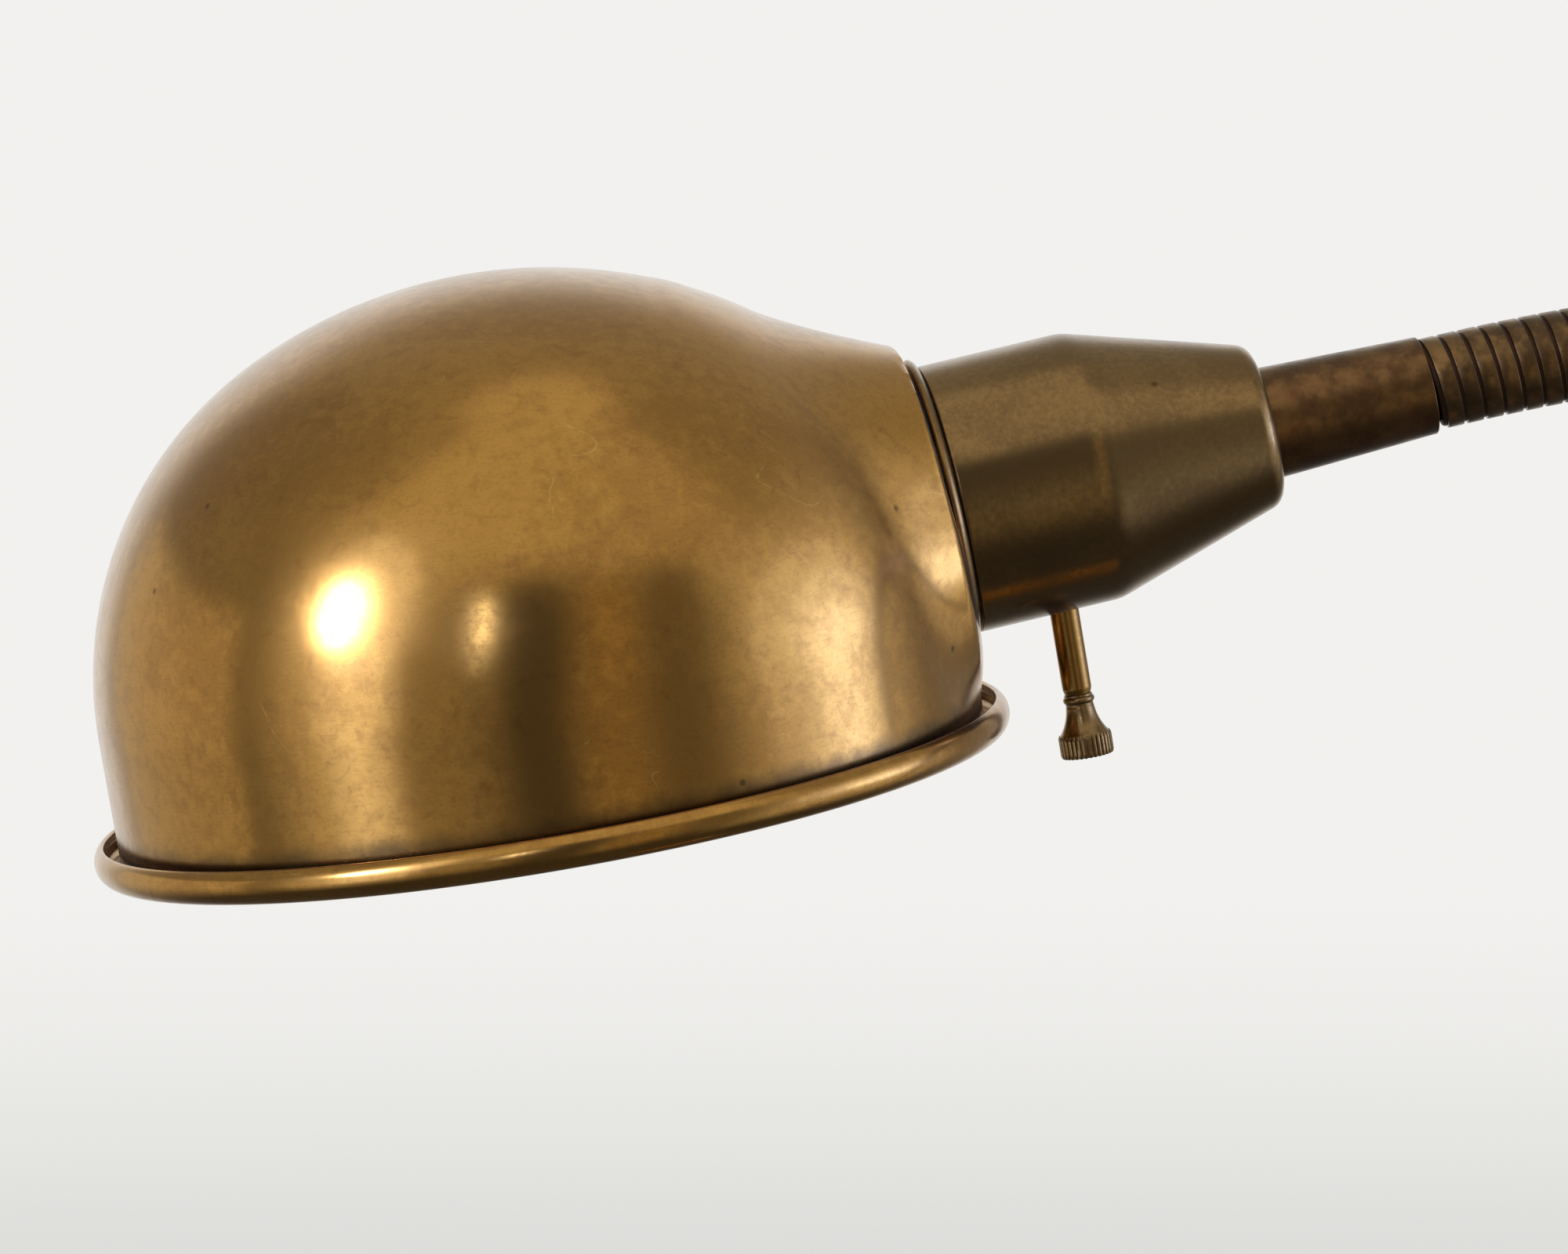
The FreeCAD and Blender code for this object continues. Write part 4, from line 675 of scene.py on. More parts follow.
def painted_corner_shade(tree, where, out, height, radius, reach):
    """Painted shade: a dark band painted in the corner at a piece's foot, up to a wavering height in
    millimetres.
    """
    edge = node(tree, "ShaderNodeTexNoise", {"Vector": where, "Scale": 1 / (9 * MM), "Detail": 3.0,
                                             "Roughness": 0.6})
    wavering = node(tree, "ShaderNodeMath", {0: edge, 1: reach * MM}, operation="MULTIPLY")
    level = node(tree, "ShaderNodeMath", {0: height, 1: wavering}, operation="SUBTRACT")
    low = node(tree, "ShaderNodeMapRange", {"Value": level, "From Min": 3.5 * MM, "From Max": 8.5 * MM,
                                            "To Min": 0.75, "To Max": 0.0}, **SMOOTH)
    beside = node(tree, "ShaderNodeMapRange", {"Value": out, "From Min": radius + 0.4 * MM,
                                               "From Max": radius + 1 * MM, "To Min": 1.0, "To Max": 0.0},
                  **SMOOTH)
    return node(tree, "ShaderNodeMath", {0: low, 1: beside}, operation="MULTIPLY")


def long_scratches(tree, where, strength):
    """A few long pale scratches, broken where the lacquer held, along one level of a wide noise."""
    course = node(tree, "ShaderNodeTexNoise", {"Vector": where, "Scale": 1 / (55 * MM), "Detail": 2.0,
                                               "Roughness": 0.5, "Distortion": 1.2})
    off_line = node(tree, "ShaderNodeMath", {0: course, 1: 0.47}, operation="SUBTRACT")
    off_line = node(tree, "ShaderNodeMath", {0: off_line}, operation="ABSOLUTE")
    line = node(tree, "ShaderNodeMapRange", {"Value": off_line, "From Min": 0.0005, "From Max": 0.0022,
                                             "To Min": strength, "To Max": 0.0}, **SMOOTH)
    areas = patches(tree, where, size=22, detail=2.0, rough=0.55, low=0.58, high=0.64)
    broken = patches(tree, where, size=1.6, detail=2.0, rough=0.55, low=0.35, high=0.55)
    here = node(tree, "ShaderNodeMath", {0: areas, 1: broken}, operation="MULTIPLY")
    return node(tree, "ShaderNodeMath", {0: line, 1: here}, operation="MULTIPLY")


def spun_brass():
    """The shade's brass, spun on a lathe, so its dashes run round the dome's axis."""
    scene = bpy.context.scene
    # The shade's wall gets a band of painted shade, 5 mm high, at its foot
    return aged_metal("spun_brass", LampPlaces(scene).shade, scene.lamp_shade.wall_radius, "brass",
                      "brass_patina", 0.15, haze=0.09, scratched=0.35, corner_shade_height=5.0)


def stand_brass():
    """Drawn and turned brass of the pole and base, aged like the shade."""
    return aged_metal("stand_brass", UPRIGHT, 20 * MM, "brass", "brass_patina", 0.22, cloud=45.0)


def cup_bronze():
    """The socket cup's brass, darkened to an olive brown with gold specks that show through."""
    scene = bpy.context.scene
    return aged_metal("cup_bronze", LampPlaces(scene).socket, scene.lamp_head.cup_radius, "bronze",
                      "bronze_patina", 0.18, cloud=18.0, mottle=1.2, coat=0.25, haze=0.05)


def ferrule_brass():
    """Reddish brown ferrules with large mottles."""
    scene = bpy.context.scene
    return aged_metal("ferrule_brass", LampPlaces(scene).socket, scene.lamp_head.ferrule_radius, "ferrule",
                      "ferrule_patina", 0.3, cloud=9.0, mottle=4.0, depth=0.9)


def strip_bronze():
    """Wound strip, dark brown with gold showing where it was handled."""
    return aged_metal("strip_bronze", UPRIGHT, bpy.context.scene.lamp_arm.radius, "strip", "strip_patina",
                      0.28, cloud=14.0, mottle=3.0, depth=0.9)


def stem_brass():
    """Switch stem: brass polished by fingers, brown only in its corners."""
    scene = bpy.context.scene
    return aged_metal("stem_brass", LampPlaces(scene).stem, scene.lamp_head.stem_radius, "stem",
                      "brass_patina", 0.2, cloud=8.0, mottle=1.5, haze=0.05)


def knob_bronze():
    """The knurled knob, as dark as the cup."""
    scene = bpy.context.scene
    return aged_metal("knob_bronze", LampPlaces(scene).stem, scene.lamp_head.knob_radius, "bronze",
                      "bronze_patina", 0.26, cloud=5.0, mottle=1.5, haze=0.05)


def two_toned(name, low, high, grain, detail=4.0, distortion=0.0, bump=None, **constants):
    """A finish that wavers between two tones in a noise whose grain is given in millimetres.

    A bump is its strength and its depth in millimetres."""
    material, tree, shader = new_finish(name, **constants)
    here = node(tree, "ShaderNodeTexCoord").outputs["Object"]
    cloud = node(tree, "ShaderNodeTexNoise", {"Vector": here, "Scale": 1 / (grain * MM), "Detail": detail,
                                              "Distortion": distortion})
    tone = node(tree, "ShaderNodeMix", {"Factor": cloud, "A": low, "B": high}, **RGBA)
    plug(tree, shader, {"Base Color": tone})
    if bump:
        strength, depth = bump
        raised = node(tree, "ShaderNodeBump", {"Height": cloud, "Strength": strength, "Distance": depth * MM})
        plug(tree, shader, {"Normal": raised})
    return material


def groove_wire():
    """Round steel wire in the gooseneck's groove, brown-black with old oil."""
    return two_toned("groove_wire", bpy.context.scene.lamp_colours.wire, linear("#4a2f1d"), 3, detail=3.0,
                     Metallic=0.6, Roughness=0.42)


def plated_steel():
    """Zinc-plated steel of nuts and screws: cool grey with a faint yellow passivation."""
    return two_toned("plated_steel", linear("#b9b8b2"), linear("#a39a7c"), 4, Metallic=1.0, Roughness=0.34)


def sand_cast_iron():
    """Sand-cast grey iron with a coarse skin, about 0.8 mm grain."""
    return two_toned("sand_cast_iron", linear("#3a3a3c"), linear("#55524e"), 0.8, bump=(0.5, 0.2),
                     Metallic=0.7, Roughness=0.62)


def green_felt():
    """Pressed wool felt: matt, with tangled fibres about 0.3 mm across."""
    return two_toned("green_felt", linear("#26352a"), linear("#3d4f3f"), 0.3, detail=5.0, distortion=2.0,
                     bump=(0.6, 0.2), Roughness=0.95, Sheen_Weight=0.4, Sheen_Roughness=0.6)


def moulded(name, low, high, roughness, grain):
    """A moulded plastic or pressed board with a faint grain, given in millimetres."""
    return two_toned(name, linear(low), linear(high), grain, bump=(0.2, 0.05), Roughness=roughness)


def ivory_nylon():
    """Natural nylon of the slip washer, slider and clamp pad."""
    return moulded("ivory_nylon", "#d8d0bb", "#e6dfcc", 0.45, 2.0)


def bushing_plastic():
    """Moulded black bushing for the lead, slightly worn."""
    return moulded("bushing_plastic", "#151514", "#232321", 0.5, 1.2)


def vulcanised_fibre():
    """Vulcanised fibre board of the socket's liner, a warm grey."""
    return moulded("vulcanised_fibre", "#8d8473", "#a79c86", 0.8, 0.6)


def pressed_phenolic():
    """Pressed phenolic of the switch block, brown with darker flow marks."""
    return moulded("pressed_phenolic", "#2a1710", "#43281a", 0.4, 2.5)


def opal_glass():
    """Inside-frosted bulb: white, soft and slightly see-through, with a smooth outside."""
    return two_toned("opal_glass", linear("#e9e6de"), linear("#f6f4ee"), 12, detail=3.0, Roughness=0.3,
                     Transmission_Weight=0.35, Coat_Weight=0.8, Coat_Roughness=0.04, IOR=1.5)


def bare_aluminium():
    """Rolled aluminium of the screw shell and bulb cap, bright with a drawn grain."""
    material, tree, shader = new_finish("bare_aluminium", Metallic=1.0)
    where = local_coordinates(tree, LampPlaces(bpy.context.scene).socket)
    lined = node(tree, "ShaderNodeMapping", {"Vector": where, "Scale": (0.05, 0.05, 1.0)})
    lines = node(tree, "ShaderNodeTexNoise", {"Vector": lined, "Scale": 1 / (0.3 * MM), "Detail": 2.0})
    tone = node(tree, "ShaderNodeMix", {"Factor": lines, "A": linear("#c4c4c2"), "B": linear("#dcdcda")},
                **RGBA)
    rough = node(tree, "ShaderNodeMapRange", {"Value": lines, "To Min": 0.22, "To Max": 0.36})
    plug(tree, shader, {"Base Color": tone, "Roughness": rough})
    return material


MAKERS = (spun_brass, stand_brass, cup_bronze, ferrule_brass, strip_bronze, groove_wire, stem_brass,
          knob_bronze, plated_steel, sand_cast_iron, green_felt, ivory_nylon, bushing_plastic,
          vulcanised_fibre, pressed_phenolic, opal_glass, bare_aluminium)


def finish(name):
    """The material of that name, made when it is first asked for."""
    makers = {maker.__name__: maker for maker in MAKERS}
    return bpy.data.materials.get(name) or makers[name]()


# The shade

class ShadeForm:
    """The shade's outer face as a distance function in the shade's own frame: a dome of two bends on an
    upright wall, and a neck, run together by a rolling hollow."""

    def __init__(self, sizes):
        self.s = sizes
        self.middle = np.array([0.0, 0.0, sizes.neck_height])
        rise = sizes.height - sizes.wall_height
        inset = sizes.wall_radius - sizes.side_bend
        self.inset = inset
        self.crown = (inset ** 2 + rise ** 2 - sizes.side_bend ** 2) / (2 * (rise - sizes.side_bend))
        self.crown_centre = sizes.height - self.crown

    def dome(self, p):
        """Distance to the dome: an upright wall, the bend above it, and a flatter crown."""
        s = self.s
        out = np.hypot(p[..., 0], p[..., 1])
        up = p[..., 2]
        wall = out - s.wall_radius
        side = np.hypot(out - self.inset, up - s.wall_height) - s.side_bend
        crown = np.hypot(out, up - self.crown_centre) - self.crown
        steep = (up - s.wall_height) * self.inset > (out - self.inset) * (s.wall_height - self.crown_centre)
        return np.where(up < s.wall_height, wall, np.where(steep, crown, side))

    def on_neck(self, p):
        """Distance along the socket's axis, to the side and upwards."""
        c, s = math.cos(self.s.neck_rise), math.sin(self.s.neck_rise)
        up = p[..., 2] - self.s.neck_height
        return p[..., 0] * c + up * s, p[..., 1], up * c - p[..., 0] * s

    def neck(self, p):
        """Distance to the neck: a cone that swells and lifts towards the dome, with a rounded end."""
        s = self.s
        along, aside, up = self.on_neck(p)
        share = (s.neck_reach - along) / s.neck_length
        lift = s.neck_lift * share + s.neck_sag * share ** 2
        swell = (s.neck_root - s.neck_radius) / s.neck_length
        radius = s.neck_radius + swell * (s.neck_reach - along)
        side = (np.hypot(up - lift, aside) - radius) * math.cos(math.atan(swell))
        edge = s.neck_round + (s.top_round - s.neck_round) * self.top_share(aside, up)
        a, b = side + edge, along - s.neck_reach + edge
        rounded = np.hypot(np.maximum(a, 0), np.maximum(b, 0))
        return np.minimum(np.maximum(a, b), 0) + rounded - edge

    @staticmethod
    def top_share(aside, up):
        """1 straight above the socket's axis, falling to 0 beside it and below."""
        return np.clip(up / np.maximum(np.hypot(up, aside), 1e-9), 0, 1) ** 2

    def slope(self, form, p):
        """Unit direction in which a form's distance grows."""
        step = 0.01 * MM
        parts = []
        for axis in np.eye(3) * step:
            parts.append(form(p + axis) - form(p - axis))
        slope = np.stack(parts, -1)
        return slope / np.maximum(np.linalg.norm(slope, axis=-1, keepdims=True), 1e-12)

    def distance(self, p):
        """The dome and the neck with a hollow rolled between them, tangent to both."""
        s = self.s
        a, b = self.dome(p), self.neck(p)
        along, aside, up = self.on_neck(p)
        both = np.clip((self.slope(self.dome, p) * self.slope(self.neck, p)).sum(-1), -0.99, 0.9999)
        hollow = s.hollow + (s.top_hollow - s.hollow) * self.top_share(aside, up)
        hollow += (s.low_hollow - s.hollow) * self.top_share(aside, -up)
        da, db = a - hollow, b - hollow
        inside = (da - both * db < 0) & (db - both * da < 0)
        ball = np.sqrt(np.maximum(da * da + db * db - 2 * both * da * db, 0) / (1 - both * both))
        joined = np.where(inside, hollow - ball, np.minimum(a, b))
        # Well inside the dome the neck's swell would stand out, so there the dome takes over again
        fade_start, fade_width = 0.95, 0.3
        share = np.clip(((s.neck_reach - along) / s.neck_length - fade_start) / fade_width, 0, 1)
        return joined + (a - joined) * share * share * (3 - 2 * share)

    def meet(self, rays):
        """Where rays from the middle pass through the outer face, found by halving."""
        nearest, farthest, halvings = 40 * MM, 110 * MM, 30
        near = np.full(rays.shape[:-1], nearest)
        far = np.full(rays.shape[:-1], farthest)
        for _ in range(halvings):
            half = (near + far) / 2
            within = self.distance(self.middle + rays * half[..., None]) < 0
            near = np.where(within, half, near)
            far = np.where(within, far, half)
        return self.middle + rays * far[..., None]

    def grid(self):
        """Points on the outer face, in rows from the wall above the rim to the neck's hole.

        Both edges are circles seen from the middle. A map that keeps circles as circles makes them
        concentric, so that every row is a closed ring between them."""
        s = self.s
        rim_angle = math.atan2(s.wall_radius, s.neck_height - s.curl_height / 2)
        hole_angle = math.atan2(s.neck_hole, s.neck_reach)
        tilt = math.pi / 2 + s.neck_rise
        rim = math.tan(rim_angle / 2)
        low, high = math.tan((tilt - hole_angle) / 2), math.tan((tilt + hole_angle) / 2)
        centre, radius = (low + high) / 2, (high - low) / 2
        total = (rim ** 2 + centre ** 2 - radius ** 2) / centre
        spread = math.sqrt(total ** 2 - 4 * rim ** 2)
        a, b = (total - spread) / 2, (total + spread) / 2
        first, last = math.log((rim + a) / (rim + b)), math.log((high - a) / (high - b))

        def rays(share, turn):
            ring = np.exp(first + (last - first) * share)[:, None] * np.exp(1j * turn)[None, :]
            top, bottom = b * ring - a, ring - 1
            size = abs(top) ** 2 + abs(bottom) ** 2
            flat = 2 * top * bottom.conj() / size
            return np.stack([flat.real, flat.imag, (abs(top) ** 2 - abs(bottom) ** 2) / size], -1)

        # Rows stand closer where the face bends round the neck's end
        samples, section_count, crowd = 1500, 9, 7
        shares = np.linspace(0, 1, samples)
        lines = self.meet(rays(shares, np.linspace(0, math.pi, section_count)))
        step = np.linalg.norm(np.diff(lines, axis=0), axis=-1).mean(axis=1)
        along = self.on_neck((lines[1:] + lines[:-1]) / 2)[0]
        edge = s.neck_reach - s.neck_round / 2
        crowding = 1 + crowd * np.exp(-((along - edge) / s.top_round) ** 2).max(axis=1)
        travel = np.concatenate([[0], np.cumsum(step * crowding)])
        rows = np.interp(np.linspace(0, travel[-1], s.rows), travel, shares)
        around = np.linspace(0, 2 * math.pi, s.columns, endpoint=False) + math.pi
        edge_points = rim * np.exp(1j * around)
        turn = np.angle((edge_points - a) / (edge_points - b))
        return self.meet(rays(rows, turn)), around


def curl_outline(s):
    """The rolled rim as (radius, height) points: inside the roll from the wall's outer face, round the
    edge of the sheet, and back outside the roll to the wall's inner face."""
    wide, high = s.curl_width / 2, s.curl_height / 2
    middle = s.wall_radius - s.sheet + wide

    def roll(cut, first, last, steps):
        angles = [first + (last - first) * k / steps for k in range(steps + 1)]
        return [(middle + (wide - cut) * math.cos(a), high + (high - cut) * math.sin(a)) for a in angles]

    inside = roll(s.sheet, -math.pi, s.curl_close, 20)[1:]
    outside = roll(0, s.curl_close, -math.pi, 32)[:-1]
    lip = bow(inside[-1], outside[0], s.sheet * 0.505, 6)[1:-1]
    return inside + lip + outside


def build_shade(scene):
    """The spun shade: outer face, rolled rim, inner face and the edge of the neck's hole."""
    s = scene.lamp_shade
    form = ShadeForm(s)
    outer, around = form.grid()
    normals = form.slope(form.distance, outer)
    inner = outer - normals * s.sheet
    curl = np.array(curl_outline(s))
    rings = [row for row in outer[::-1]]
    for radius, height in curl:
        rings.append(np.stack([radius * np.cos(around), radius * np.sin(around),
                               np.full(len(around), height)], -1))
    rings += [row for row in inner]
    points = np.concatenate(rings)
    place = np.array(LampPlaces(scene).shade)
    points = points @ place[:3, :3].T + place[:3, 3]
    columns = len(around)
    faces = []
    for ring in range(len(rings)):
        after = (ring + 1) % len(rings)
        for column in range(columns):
            beside = (column + 1) % columns
            faces.append((ring * columns + column, after * columns + column, after * columns + beside,
                          ring * columns + beside))
    piece = new_piece("shade", points, faces, finish("spun_brass"))
    settle(piece, "head", "aged_brass", "shade")


# The head's turned pieces

def build_ring(scene):
    """The thin flared ring between the shade's neck and the cup."""
    s, places = scene.lamp_head, LampPlaces(scene)
    front, back = places.ring_front, places.ring_front + s.ring_thickness
    inside = s.sleeve_radius + SLIDE
    edge = s.ring_thickness * 0.3
    flare = s.ring_radius - s.cup_radius + s.ring_thickness
    outline = [(inside, front), (s.ring_radius - edge * 1.1, front)]
    outline += bow((s.ring_radius - edge, front), (s.ring_radius, front + edge), -edge, 8)
    outline += bow((s.ring_radius, front + edge), (s.cup_radius, back), -flare * 0.55, 14)[1:]
    outline += [(inside, back)]
    turn_piece("shade_ring", outline, places.socket, "cup_bronze", 160, "head", "aged_brass")


def build_cup(scene):
    """The socket cup with the threaded sleeve that carries the shade."""
    s, places = scene.lamp_head, LampPlaces(scene)
    wall = 1.2 * MM
    thread = 5.1 * MM
    sleeve_bore = s.sleeve_radius - 1 * MM
    sleeve_front = scene.lamp_shade.neck_reach - 8 * MM
    front, shoulder, back = places.cup_front, places.cup_shoulder, places.cup_back
    outline = eased([
        (sleeve_bore, sleeve_front),
        (s.sleeve_radius, sleeve_front),
        (s.sleeve_radius, front),
        (s.cup_radius, front, 0.5 * MM),
        (s.cup_radius, shoulder, 9 * MM),
        (s.cup_end, back, s.cup_round),
        (thread, back),
        (thread, back - wall),
        (s.cup_end - wall, back - wall),
        (s.cup_radius - wall, shoulder),
        (s.cup_radius - wall, front + wall),
        (sleeve_bore, front + wall),
    ])
    turn_piece("socket_cup", outline, places.socket, "cup_bronze", 160, "head", "dark_bronze")


def build_ferrule(scene, name, body, place):
    """A tapered ferrule whose mouth holds the end of the gooseneck."""
    s = scene.lamp_head
    bore = scene.lamp_arm.radius + 0.08 * MM
    ledge = bore - 0.9 * MM
    core = 5 * MM
    tip = s.ferrule_length
    seat, floor = tip - 4 * MM, tip - 12 * MM
    outline = eased([
        (core, 0.0),
        (s.ferrule_radius, 0.0, 0.25 * MM),
        (s.mouth_radius, tip, 0.9 * MM),
        (bore, tip, 0.1 * MM),
        (bore, seat),
        (ledge, seat),
        (ledge, floor),
        (core, floor),
    ])
    turn_piece(name, outline, place, "ferrule_brass", 128, body, "ferrule_bronze")


def build_switch(scene):
    """The turning stem under the cup, and its knob with bead, flare and knurled band."""
    s, places = scene.lamp_head, LampPlaces(scene)
    end = s.cup_radius + s.stem_shown
    stem_root = 2 * MM
    turn_piece("switch_stem", eased([
        (0.0, stem_root),
        (s.stem_radius, stem_root, 0.2 * MM),
        (s.stem_radius, end - 1.1 * MM, 1.2 * MM),
        (s.stem_radius - 0.35 * MM, end),
        (0.0, end),
    ]), places.stem, "stem_brass", 64, "switch", "bright_brass")
    waist, radius = s.waist_radius, s.knob_radius
    top = end + 0.05 * MM
    step = end + s.knob_step
    bead_end = step + s.knob_bead
    waist_end = bead_end + s.knob_waist
    flare_top = waist_end + s.knob_flare
    band_top = flare_top + s.knob_band
    core = radius - 0.35 * MM
    bevel = 0.25 * MM
    outline = [(0.0, top), (waist, top), (waist, step)]
    outline += bow((waist, step), (waist, bead_end), -s.knob_bead * 0.62, 14)[1:]
    outline += bow((waist, bead_end), (waist, waist_end), s.knob_waist * 1.4, 8)[1:]
    outline += bow((waist, waist_end), (core, flare_top), s.knob_flare * 1.9, 16)[1:]
    outline += [(core, band_top - bevel), (core - bevel, band_top), (0.0, band_top)]
    turn_piece("switch_knob", outline, places.stem, "knob_bronze", 96, "switch", "dark_bronze")
    pitch = 2 * math.pi * radius / s.knob_teeth
    sunk = 0.15 * MM
    band = grown("switch_knob_band", ridge_tree(), bpy.data.meshes.new("knob_band"),
                 places.stem @ Matrix.Translation((0, 0, flare_top - sunk)), Count=s.knob_teeth,
                 Radius=core - sunk, Width=pitch * 0.72, Depth=1.0 * MM,
                 Length=band_top - flare_top + 0.2 * MM, Material=finish("knob_bronze"))
    settle(band, "switch", "dark_bronze")


def build_bulb(scene):
    """A pear-shaped bulb and its screw cap, at the place of the solids."""
    places = LampPlaces(scene)
    cap_back, tip = 95.5 * MM, -12.5 * MM
    cap_front = cap_back - 22 * MM
    globe, neck = scene.lamp_head.bulb_radius, 12 * MM
    middle = tip + globe
    rise = cap_front - middle
    bend = (neck ** 2 + rise ** 2 - globe ** 2) / (2 * (globe - neck))
    join = (globe * (neck + bend) / (globe + bend), middle + globe * rise / (globe + bend))
    outline = bow((0.0, tip), join, -globe, 48) + bow(join, (neck, cap_front), bend, 20)[1:]
    outline += [(neck, cap_front + 1 * MM), (0.0, cap_front + 1 * MM)]
    turn_piece("bulb_glass", outline, places.socket, "opal_glass", 96, "head", "frosted_glass")
    shell, ribs, pitch = 12.2 * MM, 6, 2.9 * MM
    start = cap_front + 1.5 * MM
    cap = [(0.0, cap_front), (11.6 * MM, cap_front)]
    for rib in range(ribs):
        low = start + rib * pitch
        crest = low + pitch * 0.5
        cap += bow((shell, low), (shell, crest), -pitch * 0.4, 6)
        cap += bow((shell, crest), (shell, low + pitch), pitch * 0.4, 6)[1:-1]
    cap += [(11.8 * MM, start + ribs * pitch), (4.6 * MM, cap_back - 0.8 * MM), (2.3 * MM, cap_back),
            (0.0, cap_back)]
    turn_piece("bulb_cap", cap, places.socket, "bare_aluminium", 96, "head", "aluminium")


# The gooseneck

def build_gooseneck(scene):
    """The wound strip and the wire in its groove, in pieces that each span one hinge, and the two ferrules.
    """
    arm, places = scene.lamp_arm, LampPlaces(scene)
    path = places.path
    tree = winding_tree()
    half = path.step / 2
    # The strip's last edge stands 0.4 mm off the ferrule's mouth on top, as far as 2.4 mm below
    strip_end = arm.reach - 0.4 * MM
    top_of_last_turn = strip_end - arm.strip_width / 2
    tucked = 1.5 * MM
    sample = 1.0 * MM
    windings = (
        ("strip", 0.0, arm.radius, arm.strip_width, arm.strip_thickness, arm.strip_round, "strip_bronze",
         strip_end),
        ("wire", 0.5, arm.radius - arm.wire_depth, arm.wire_width, arm.wire_width, arm.wire_width * 0.45,
         "groove_wire", arm.reach + tucked),
    )
    bodies = ["arm_root"] + [f"arm_{number:02d}" for number in range(2, path.count)] + ["head"]
    for number in range(1, path.count):
        low, high = number * path.step - half, number * path.step + half
        first = -tucked if number == 1 else low
        final = number == path.count - 1
        for kind, turn, radius, width, thick, soft, material, end in windings:
            last = end if final else high
            count = max(2, round((last - first) / sample))
            stops = [path.point(first + (last - first) * k / count) for k in range(count + 1)]
            start_turn = (first - top_of_last_turn) / arm.pitch + turn
            piece = grown(f"gooseneck_{kind}_{number}", tree, polyline(f"{kind}_path_{number}", stops),
                          Pitch=arm.pitch, Radius=radius, Width=width, Thickness=thick, Round=soft,
                          Start_Turn=start_turn, Steps=arm.steps, Material=finish(material))
            ends = [(bodies[number - 1], path.point(low)), (bodies[number], path.point(high))]
            # The piece's two ends are listed, the far end first for one stretch, but nothing reads the list
            if number == arm.from_far_end:
                ends.reverse()
            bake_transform(piece)
            if kind == "strip":
                nodes = [f"gooseneck_{number:02d}"] + (["gooseneck_10"] if final else [])
                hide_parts(*nodes)
    pole_end = Matrix.Translation((0, 0, span("lower_ferrule", 2)[0]))
    head_end = places.socket @ Matrix.Translation((0, 0, places.cup_back))
    build_ferrule(scene, "lower_ferrule", "arm_root", pole_end)
    build_ferrule(scene, "upper_ferrule", "head", head_end)


# The stand

def tube_outline(node_name, wall, edge):
    """The outline of an upright tube at a CAD node's place."""
    radius = span(node_name, 0)[1]
    bore = radius - wall
    low, high = span(node_name, 2)
    return eased([(bore, low), (radius, low, edge), (radius, high, edge), (bore, high, edge)])


def build_base(scene):
    """The base's sheet cover, its felt, and the bushing in the lead's outlet."""
    s = scene.lamp_stand
    rim = span("base_cover", 1)[1]
    low, top = span("base_cover", 2)
    step = low + s.rim_rise
    wall = s.cover_wall
    hole = 6.45 * MM
    crown = bow((rim - s.rim_step, step), (s.seat_radius, top), -s.crown_bend, 40)
    lining = bow((s.seat_radius, top - wall), (rim - s.rim_step, step - wall), s.crown_bend - wall, 20)
    outer = eased([(rim - wall, low), (rim, low, 0.4 * MM), (rim, step, 2.4 * MM), crown[0]])[1:-1]
    cover = turned("base_cover", outer + crown + [(hole, top), (hole, top - wall)] + lining
                   + [(rim - wall, step - wall), (rim - wall, low)], UPRIGHT, finish("stand_brass"), 200)
    outlet = along_x(rim, middle_of("cord_bushing", 2))
    bore_outlet(cover, outlet)
    settle(cover, "stand", "pole_brass", "base_cover")

    felt_radius = span("base_felt", 1)[1]
    felt_low, felt_top = span("base_felt", 2)
    turn_piece("base_felt", eased([
        (0.0, felt_low),
        (felt_radius, felt_low, 0.3 * MM),
        (felt_radius, felt_top, 0.6 * MM),
        (0.0, felt_top),
    ]), UPRIGHT, "green_felt", 160, "stand", "felt")

    barrel, flange, bore = 3.8 * MM, 5.5 * MM, 2.7 * MM
    inner_end, outer_end = -5 * MM, 1.9 * MM
    turn_piece("cord_bushing", eased([
        (bore, inner_end),
        (barrel, inner_end, 0.3 * MM),
        (barrel, SLIDE),
        (flange, SLIDE),
        (flange, outer_end, 0.8 * MM),
        (bore, outer_end, 0.7 * MM),
    ]), outlet, "bushing_plastic", 64, "stand", "black_plastic")


def bore_outlet(cover, outlet):
    """Bore the lead's outlet through the rim of the cover."""
    radius, inwards, outwards = 3.9 * MM, -8 * MM, 4 * MM
    drill = turned("outlet_drill", [(0.0, inwards), (radius, inwards), (radius, outwards), (0.0, outwards)],
                   outlet, None, 48)
    cut = cover.modifiers.new("Outlet", "BOOLEAN")
    cut.operation = "DIFFERENCE"
    cut.solver = "EXACT"
    cut.object = drill
    evaluated = cover.evaluated_get(bpy.context.evaluated_depsgraph_get())
    mesh = bpy.data.meshes.new_from_object(evaluated)
    cover.modifiers.clear()
    cover.data = mesh
    mesh.set_sharp_from_angle(angle=SHARP)
    bpy.data.objects.remove(drill)


